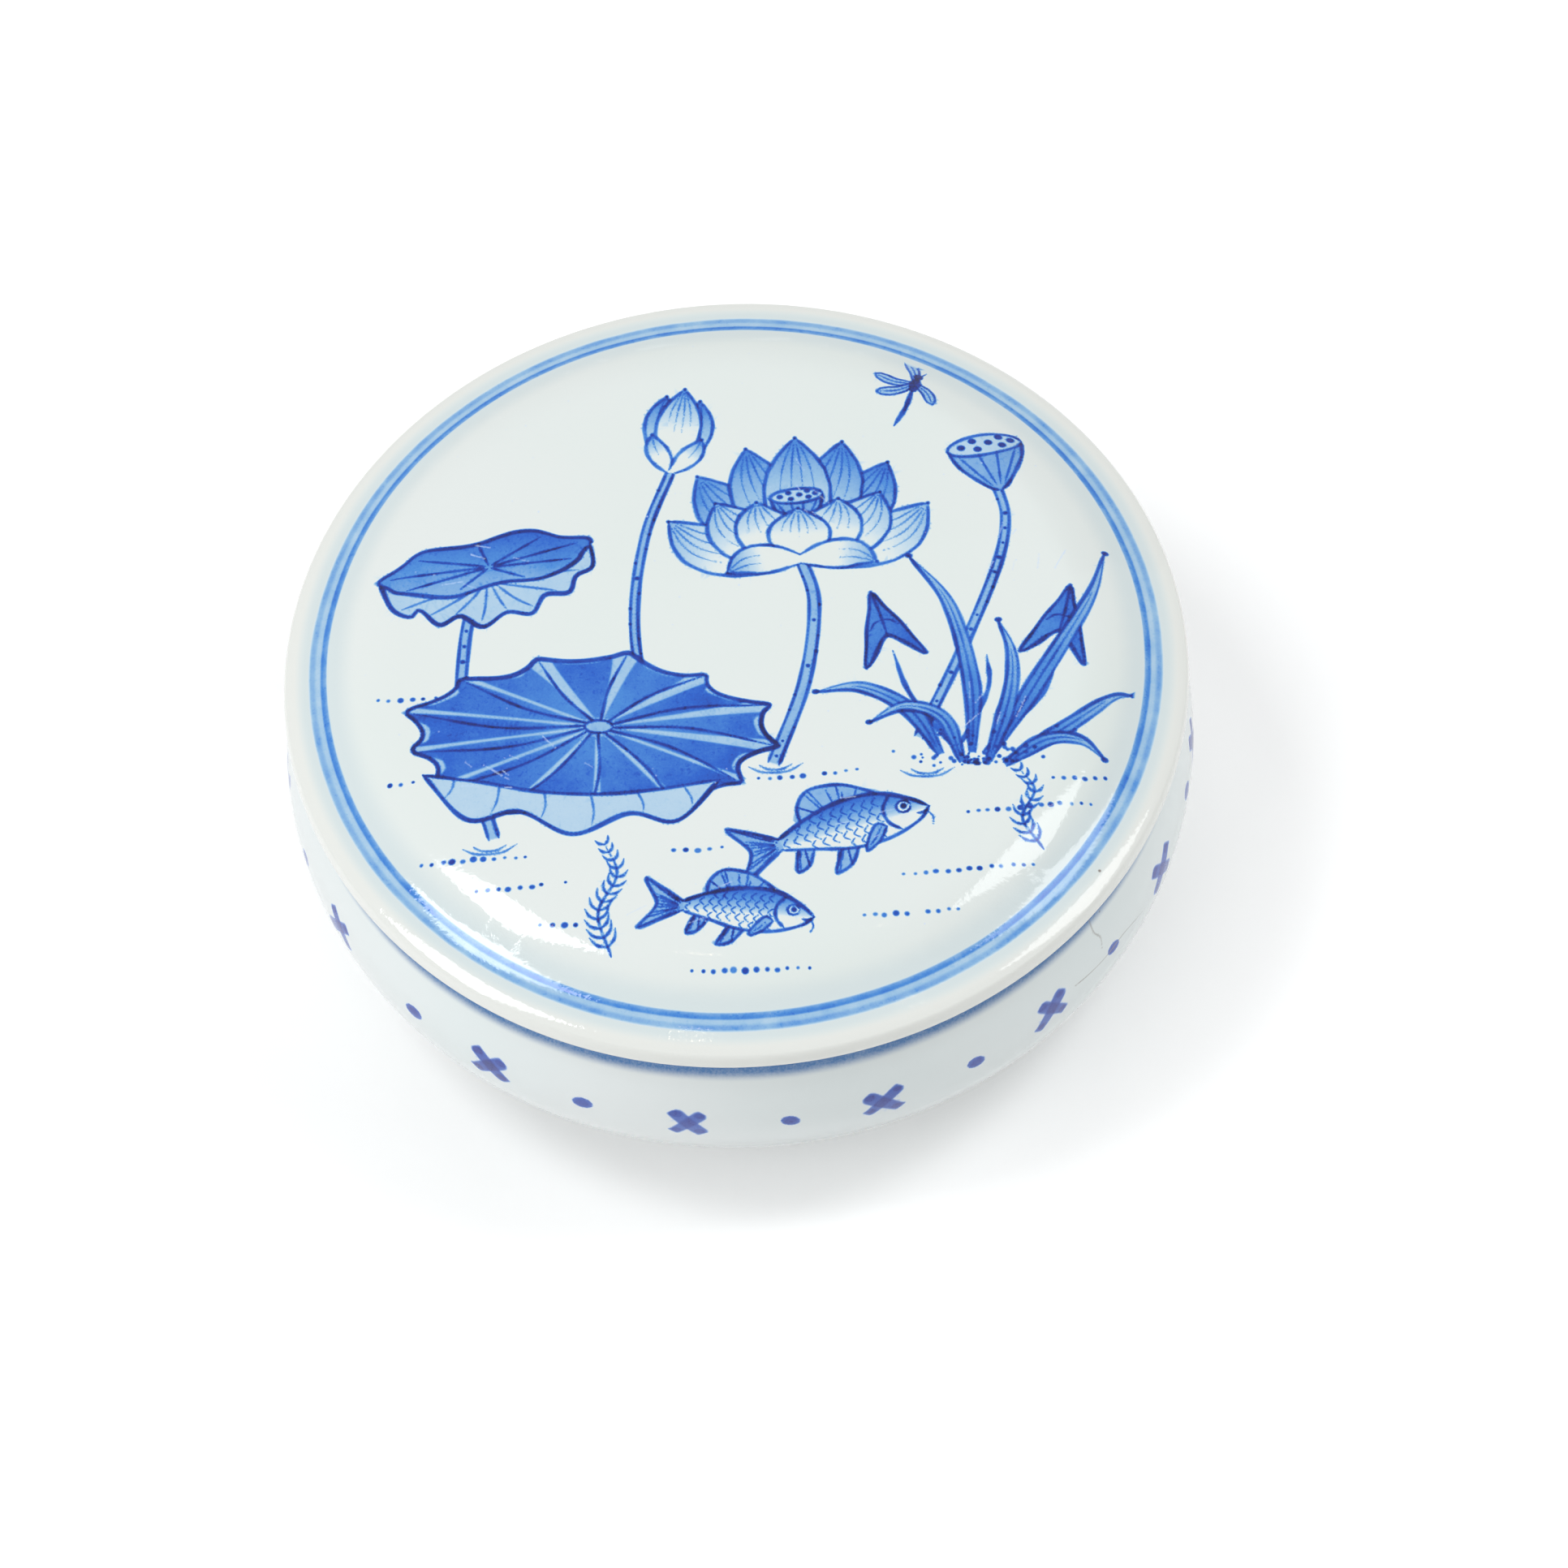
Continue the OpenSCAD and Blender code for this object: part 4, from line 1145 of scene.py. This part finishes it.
def makeDish(v):
    top = v["height"]
    edgeZ = top - v["rimEdge"]
    edge = (sideCentre[0] + reach(v["sideR"] - v["rimEdge"], edgeZ - sideCentre[1]), edgeZ)
    edgeTurn = turnTo(sideCentre, edge)
    floorZ = v["footH"] + v["floor"]
    wellR = v["bellyR"] - v["wall"]
    corner = (wellR - v["wellCorner"], floorZ + v["wellCorner"])
    inner = v["sideR"] - v["wall"]
    # below the neck the wall runs out at 45 degrees, as far as the inner arc
    q = (neckR - sideCentre[0], top - v["neck"] - sideCentre[1])
    b = (q[0] - q[1]) * math.sqrt(0.5)
    out = (math.sqrt(b * b - q[0] ** 2 - q[1] ** 2 + inner ** 2) - b) * math.sqrt(0.5)
    neckFoot = (neckR + out, top - v["neck"] - out)
    lean = math.tan(math.radians(v["footLean"]))
    footIn = v["footR"] - v["footW"]
    footTop = v["footR"] + v["footH"] * lean
    start = -90 + math.degrees(math.asin((footTop + v["footRoot"] - sideCentre[0]) / v["sideR"]))
    recessR = footIn - (v["recess"] - v["footBevel"]) * lean
    rootA = (footTop - v["footRoot"] * lean, v["footH"] - v["footRoot"])
    rootC = (sideCentre[0] + v["sideR"] * math.cos(math.radians(start)),
             sideCentre[1] + v["sideR"] * math.sin(math.radians(start)))
    bevel = v["footBevel"]

    def isBare(r, z):  # the foot's face and bevels, and the rim
        return int((z < bevel + 0.02 and r > footIn - 0.1) or (z > top - 0.05 and r < edge[0] + 0.3))
    piece = Turned(isBare)

    def wellChart(row, part, turn, middle):
        return disc((0.25, 0.25), 0.24, 1 - part, turn)

    def footChart(row, part, turn, middle):
        return disc((0.75, 0.25), 0.24, part, turn)

    scale = 0.97 / (math.pi * v["bellyR"])  # half the way round takes up 0.97 of the bake map

    def unrolled(turn, middle, rise):  # the side in two rows, the left half and the right half
        if middle > math.pi:
            turn, middle = turn - 2 * math.pi, middle - 2 * math.pi
        low, x = (0.54, turn + math.pi) if middle < 0 else (0.775, turn)
        return (0.015 + x * v["bellyR"] * scale, low + (rise - v["sideR"] * math.radians(start)) * scale)

    def sideChart(row, part, turn, middle):
        angle = math.atan2(row[1] - sideCentre[1], row[0] - sideCentre[0])
        return unrolled(turn, middle, v["sideR"] * angle)

    under = chain([(0, v["recess"]), (recessR, v["recess"]), (footIn, bevel), (footIn + bevel, 0),
                   (v["footR"] - bevel, 0), (v["footR"], bevel)], (6, 3, 1, 2, 1))
    root = softCorner(rootA, (footTop, v["footH"]), rootC)
    flank = chain([(v["footR"], bevel), rootA], [3])[0]
    flank = [(r, z, *root[0][2:]) for r, z, _, _ in flank]  # shaded as one with the root
    held = piece.rows(under + [flank, root], footChart)
    paintTurn = math.degrees(v["paintFrom"] / v["sideR"])
    low = piece.rows([stretch(sideCentre, v["sideR"], start, paintTurn)], sideChart, first=held)
    high = piece.ring(*stretch(sideCentre, v["sideR"], paintTurn, edgeTurn)[-1][:2])
    y0, y1 = v["paintFrom"], v["sideR"] * math.radians(edgeTurn)
    turns = [2 * math.pi * i / columns for i in range(columns + 1)]
    halfRound = math.pi * v["bellyR"]
    border, ids = [], []
    for ring, y in ((low, y0), (high, y1)):
        for i in range(columns + 1):
            k = (i + columns // 2) % columns  # the sheet is cut at the back
            border.append(((turns[i] - math.pi) * v["bellyR"], y))
            ids.append(ring[0] + k)

    def onSide(a, turn):  # the point at an angle up the side's arc and a turn round the axis
        return around(sideCentre[0] + v["sideR"] * math.cos(a),
                      sideCentre[1] + v["sideR"] * math.sin(a), turn)
    upCount = round((y1 - y0) / v["grid"])
    for j in range(1, upCount):
        y = y0 + (y1 - y0) * j / upCount
        a = y / v["sideR"]
        piece.points.append(onSide(a, math.pi))
        piece.paint.append((0, 0, 0, 1))
        for x in (-halfRound, halfRound):
            border.append((x, y))
            ids.append(len(piece.points) - 1)

    def lift(p):
        a, turn = p[1] / v["sideR"], p[0] / v["bellyR"]
        return onSide(a, turn), around(math.cos(a), math.sin(a), turn)

    def isInside(p, gap):
        return abs(p[0]) < halfRound - gap and y0 + gap < p[1] < y1 - gap
    art = crossesAndDots(ornament, sideCentre[1], v["sideR"], v["bellyR"])
    grid = hexGrid((-halfRound, y0), (halfRound, y1), v["grid"])
    piece.sheet(art, border, ids, grid, lift, isInside,
                lambda p, x: unrolled(p[0] / v["bellyR"], x / v["bellyR"], p[1]))
    over = [
        stretch(edge, v["rimEdge"], edgeTurn, 90),
        *chain([(edge[0], top), (edge[0] - 0.4, top), (neckR + v["neckBevel"], top),
                (neckR, top - v["neckBevel"]), (neckR, top - v["neck"]), neckFoot], (1, 3, 1, 2, 2)),
        stretch(sideCentre, inner, turnTo(sideCentre, neckFoot), 0, hollow=True),
        stretch(corner, v["wellCorner"], 0, -90, hollow=True),
        *chain([(corner[0], floorZ), (0, floorZ)], [12]),
    ]
    piece.rows(over, wellChart, first=high)
    piece.build("porcelainDish", porcelain("dishGlaze", glaze, dishPaint, dishLines),
                "dish", "dish")


makeDish(dishShape)


# Cover: the lip, cove, shoulder and crown run into each other, with the spigot and the hollow below.
# Lengths are in mm and slopes in degrees.

coverShape = {
    "seat": dishShape["height"], "lipOver": 2.45, "lipCrown": 5.0, "lipEdgeSlope": 26.0, "lipSlope": 10.5,
    "lipFlat": 1.06, "lipEdge": 1.2, "cove": 9.44, "domeSlope": 30.51, "shoulderAt": (32.014, 21.817),
    "shoulder": 12.1, "crownSlope": 3.0, "middle": 3.4, "play": 0.4, "spigotH": 3.4, "spigotW": 2.4,
    "spigotBevel": 0.6, "spigotRoot": 1.8,
    "pictureR": 38.9, "grid": 1.4, "hollowRows": 14,  # the painted part, its triangles, the hollow's rings
}
coverLines = [  # the two rings round the picture, and the pale wash that runs between them
    {"along": "radius", "above": 30, "outside": 38, "at": at, "half": half, "soft": soft, "ink": ink,
     "uneven": uneven, "wander": wander}
    for at, half, soft, ink, uneven, wander in (
        (39.88, 0.18, 0.24, 0.35, 0.2, 0.25), (41.0, 0.1, 0.36, 0.15, 0.15, 0.3),
        (40.55, 0.5, 0.45, 0.19, 0.12, 0.2))
]
wear = {  # groups of fine scratches: place, direction in degrees, number; and tiny pits
    "groups": [((-21, -13), -32, 9), ((-24.5, 11.5), -14, 5), ((29, 9), 74, 7), ((11, -20.5), 12, 4),
               ((9, 16), -50, 5), ((-5, -30), 25, 4), ((24, -9), 60, 5)],
    "pits": 70, "pitsR": 37,
}


def addWear(art, v):
    for (x, y), turn, count in v["groups"]:
        for _ in range(count):
            at = np.array((x + art.dice.gauss(0, 2.6), y + art.dice.gauss(0, 1.8)))
            a = math.radians(turn + art.dice.gauss(0, 14))
            half = np.array((math.cos(a), math.sin(a))) * art.dice.uniform(0.3, 1.3)
            ends = [at - half, at + half * 0.1, at + half]
            art.line(ends, 0.09, art.dice.uniform(0.3, 0.65), channel=1)
    for _ in range(v["pits"]):
        a, r = art.dice.uniform(0, 2 * math.pi), v["pitsR"] * math.sqrt(art.dice.random())
        at = (r * math.sin(a), r * math.cos(a))
        art.dot(at, art.dice.uniform(0.05, 0.1), art.dice.uniform(0.3, 0.6), channel=1)


def slopeTo(slope):  # direction from an arc's centre to where it falls outwards at this slope
    return np.array([math.sin(math.radians(slope)), math.cos(math.radians(slope))])


def makeCover(v):
    outerR = rimR + v["lipOver"]
    shoulder = np.array(v["shoulderAt"])
    cove = shoulder + (v["shoulder"] + v["cove"]) * slopeTo(v["domeSlope"])
    coveEnd = cove - v["cove"] * slopeTo(v["lipSlope"])
    lipStart = coveEnd + v["lipFlat"] * slopeTo(v["lipSlope"] + 90)
    lipCrown = lipStart - v["lipCrown"] * slopeTo(v["lipSlope"])
    crownR = v["shoulder"] + shoulder[0] / math.sin(math.radians(v["crownSlope"]))
    crown = shoulder + (v["shoulder"] - crownR) * slopeTo(v["crownSlope"])
    arcs = [  # centre, radius, how far out the arc goes, whether it is hollow
        (crown, crownR, (shoulder + v["shoulder"] * slopeTo(v["crownSlope"]))[0], False),
        (shoulder, v["shoulder"], (shoulder + v["shoulder"] * slopeTo(v["domeSlope"]))[0], False),
        (cove, v["cove"], outerR, True),
    ]

    def topAt(r):  # height and normal of the painted top at a radius
        centre, size, _, isHollow = next(arc for arc in arcs if r <= arc[2])
        up = -1 if isHollow else 1
        rise = reach(size, r - centre[0])
        return (r, centre[1] + up * rise, up * (r - centre[0]) / size, rise / size)

    spigotOut = neckR - v["play"]
    spigotIn = spigotOut - v["spigotW"]
    foot, bevel = v["seat"] - v["spigotH"], v["spigotBevel"]
    seatR = outerR - v["lipEdge"]
    bareR = seatR - 0.45  # the glaze ends a little way in on the seat

    def isBare(r, z):  # the seat, and the spigot's outside and foot
        return int(z < v["seat"] + 0.01 and spigotIn + 0.1 < r < bareR + 0.05)
    piece = Turned(isBare)
    scale = 0.4 / 44  # size of 1 mm of the top on the bake map

    def topChart(row, part, turn, middle):
        return disc((0.405, 0.405), scale, row[0], turn)

    def underChart(row, part, turn, middle):
        return disc((0.815, 0.815), 0.175, 1 - part, turn)

    edge = topAt(v["pictureR"])
    rim = piece.ring(edge[0], edge[1])
    border = [(p[0], p[1]) for p in piece.points]

    def lift(p):
        r = math.hypot(*p)
        row = topAt(r)
        x, y = (p[0] / r, p[1] / r) if r > tiny else (0, 0)
        return ((p[0], p[1], row[1]), (row[2] * x, row[2] * y, row[3]))
    art = lotusPond()
    addWear(art, wear)
    piece.sheet(art, border, list(range(columns)), hexGrid((-40, -40), (40, 40), v["grid"]), lift,
                lambda p, gap: math.hypot(*p) < v["pictureR"] - gap,
                lambda p, x: (0.405 + p[0] * scale, 0.405 + p[1] * scale))
    coveStart = 180 + math.degrees(math.atan2(cove[1] - edge[1], cove[0] - edge[0]))
    lipEnd = lipCrown + v["lipCrown"] * slopeTo(v["lipEdgeSlope"])
    fall = math.tan(math.radians(v["lipEdgeSlope"]))
    lipTop, lipFoot = (outerR, v["seat"] + v["lipEdge"]), (outerR, v["seat"])
    held = piece.rows([
        stretch(cove, v["cove"], coveStart, 270 - v["lipSlope"], hollow=True),
        *chain([coveEnd, lipStart], [2], -1),
        stretch(lipCrown, v["lipCrown"], 90 - v["lipSlope"], 90 - v["lipEdgeSlope"]),
        softCorner(lipEnd, (outerR, lipEnd[1] - (outerR - lipEnd[0]) * fall), lipTop, 12, -1),
    ], topChart, first=rim)
    hollowR, rootR = crownR - v["middle"], v["spigotRoot"]
    root = (spigotIn - rootR, crown[1] + reach(hollowR - rootR, spigotIn - rootR))
    rootTurn = turnTo(crown, root)
    hollow = stretch(root, rootR, 0, rootTurn, hollow=True)
    inward = [hollow[-1][0] * (1 - k / v["hollowRows"]) for k in range(v["hollowRows"] + 1)]
    piece.rows([
        softCorner(lipTop, lipFoot, (seatR, v["seat"]), 10, -1),
        *chain([(seatR, v["seat"]), (bareR, v["seat"]), (spigotOut, v["seat"]), (spigotOut, foot + bevel),
                (spigotOut - bevel, foot), (spigotIn + bevel, foot), (spigotIn, foot + bevel),
                (spigotIn, root[1])], (1, 3, 2, 1, 1, 1, 2), -1),
        hollow,
        [(r, crown[1] + reach(hollowR, r), -r / hollowR, -reach(hollowR, r) / hollowR) for r in inward],
    ], underChart, first=held)
    piece.build("porcelainCover", porcelain("coverGlaze", glaze, coverPaint, coverLines),
                "cover", "cover")


makeCover(coverShape)


# Seal paste: a mound of vermilion kneaded with moxa fibre and oil, turned over with a spatula

pasteShape = {
    "gap": 0.36, "cornerGap": 0.3, "baseGap": 0.02, "foot": 1.0,  # clearances in the well of the dish
    "high": 15.9, "moundR": 168.96, "edgeR": 2.2, "edgeDrop": 0.6,
    "rings": 110, "pitch": 11.0, "fold": 1.1,  # the spatula's fold: its way out in one turn, and its depth
    "sway": (1.5, 0.7), "lean": 1.6, "steep": 0.09, "calmMiddle": 9, "calmEdge": 5,
    "lumps": 150, "lumpsR": 37, "lumpSize": (0.8, 2.8), "lumpDepth": (0.1, 0.42),
}
pasteLook = {
    "red": srgb(218, 42, 20), "deep": srgb(176, 20, 12), "bright": srgb(238, 74, 36),
    "redFrom": (0.35, 0.7), "brightFrom": (0.45, 0.8), "brightShare": 0.6,
    "roughness": 0.24, "dryer": 0.2, "ior": 1.42, "oil": 0.1, "oilRoughness": 0.15,
    "fibre": (900, 4, 0.65), "fibreStretch": (1, 2.6, 1), "fibreHigh": 0.07,
    "lump": (170, 3, 0.55), "lumpHigh": 0.5,
}


def pastePaint(v):
    g = Graph("cinnabarPaste")
    place = g.wire("ShaderNodeTexCoord", output=3)
    fibre = g.noise(g.wire("ShaderNodeMapping", None, {0: place, 3: v["fibreStretch"]}), *v["fibre"])
    lump = g.noise(place, *v["lump"])
    colour = g.mix(g.step(fibre, *v["redFrom"]), v["deep"], v["red"])
    colour = g.mix(g.step(lump, *v["brightFrom"]) * v["brightShare"], colour, v["bright"])
    bump = g.wire("ShaderNodeBump", None, {
        "Strength": 1.0, "Distance": mm, "Height": fibre * v["fibreHigh"] + lump * v["lumpHigh"]})
    shader = g.wire("ShaderNodeBsdfPrincipled", None, {
        "Base Color": colour, "Roughness": v["roughness"] + fibre * v["dryer"], "IOR": v["ior"],
        "Coat Weight": v["oil"], "Coat Roughness": v["oilRoughness"], "Normal": bump})
    return g.finish(shader)


def makePaste(v, dish):
    wellR, floorZ = dish["bellyR"] - dish["wall"], dish["footH"] + dish["floor"]
    cornerR, sideR = dish["wellCorner"] - v["cornerGap"], wellR - v["gap"]
    baseR, baseZ = wellR - dish["wellCorner"] - v["foot"], floorZ + v["baseGap"]
    sideZ, inR = floorZ + dish["wellCorner"], sideR - v["edgeR"]
    piece = Turned()
    dice = random.Random(5)
    lumps = [(dice.uniform(0, 2 * math.pi), math.sqrt(dice.random()) * v["lumpsR"],
              dice.uniform(*v["lumpSize"]), dice.uniform(*v["lumpDepth"])) for _ in range(v["lumps"])]

    def mound(r):
        return floorZ + v["high"] - r * r / (2 * v["moundR"])

    def height(r, turn):  # of the worked surface, never above the mound's own curve
        z = mound(r)
        wavy = r + v["sway"][0] * math.sin(2 * turn + 0.7) + v["sway"][1] * math.sin(5 * turn + r * 0.1)
        coil = (wavy / v["pitch"] - turn / (2 * math.pi)) % 1
        calm = min(1, r / v["calmMiddle"]) * min(1, (inR - r) / v["calmEdge"])
        z -= v["fold"] * min(coil ** v["lean"], (1 - coil) / v["steep"]) * calm
        x, y = r * math.sin(turn), r * math.cos(turn)
        for a, d, size, depth in lumps:
            gap = ((x - d * math.sin(a)) ** 2 + (y - d * math.cos(a)) ** 2) / size ** 2
            if gap < 6:
                z -= depth * math.exp(-gap)
        return z
    for k in range(v["rings"] + 1):
        r = inR * k / v["rings"]
        ids = piece.ring(r, 0)
        for i in range(ids[1]):
            x, y, _ = piece.points[ids[0] + i]
            piece.points[ids[0] + i] = (x, y, height(r, 2 * math.pi * i / columns))
        if k:
            piece.band(held, ids, (0, 0, 0, 1), (1, 0, 0, 1), (k - 1) / v["rings"], k / v["rings"],
                       lambda row, part, turn, middle: disc((0.37, 0.37), 0.36, part, turn))
        held = ids
    edgeZ = mound(inR) - v["edgeDrop"] - v["edgeR"]
    rest = [
        [(inR, mound(inR) - v["edgeDrop"] / 2, 0, 1)] + stretch((inR, edgeZ), v["edgeR"], 80, 0),
        *chain([(sideR, edgeZ), (sideR, sideZ)], [2]),
        stretch((sideR - cornerR, baseZ + cornerR), cornerR, 0, -84),
        *chain([(baseR, baseZ), (0, baseZ)], [2], -1),
    ]
    piece.rows(rest, lambda row, part, turn, middle: disc((0.86, 0.86), 0.13, 1 - part, turn), first=held)
    paste = piece.build("sealPaste", pastePaint(pasteLook), "dish", "seal_paste")
    paste.data.normals_split_custom_set([(0, 0, 0)] * len(piece.normals))  # its folds keep their own


makePaste(pasteShape, dishShape)
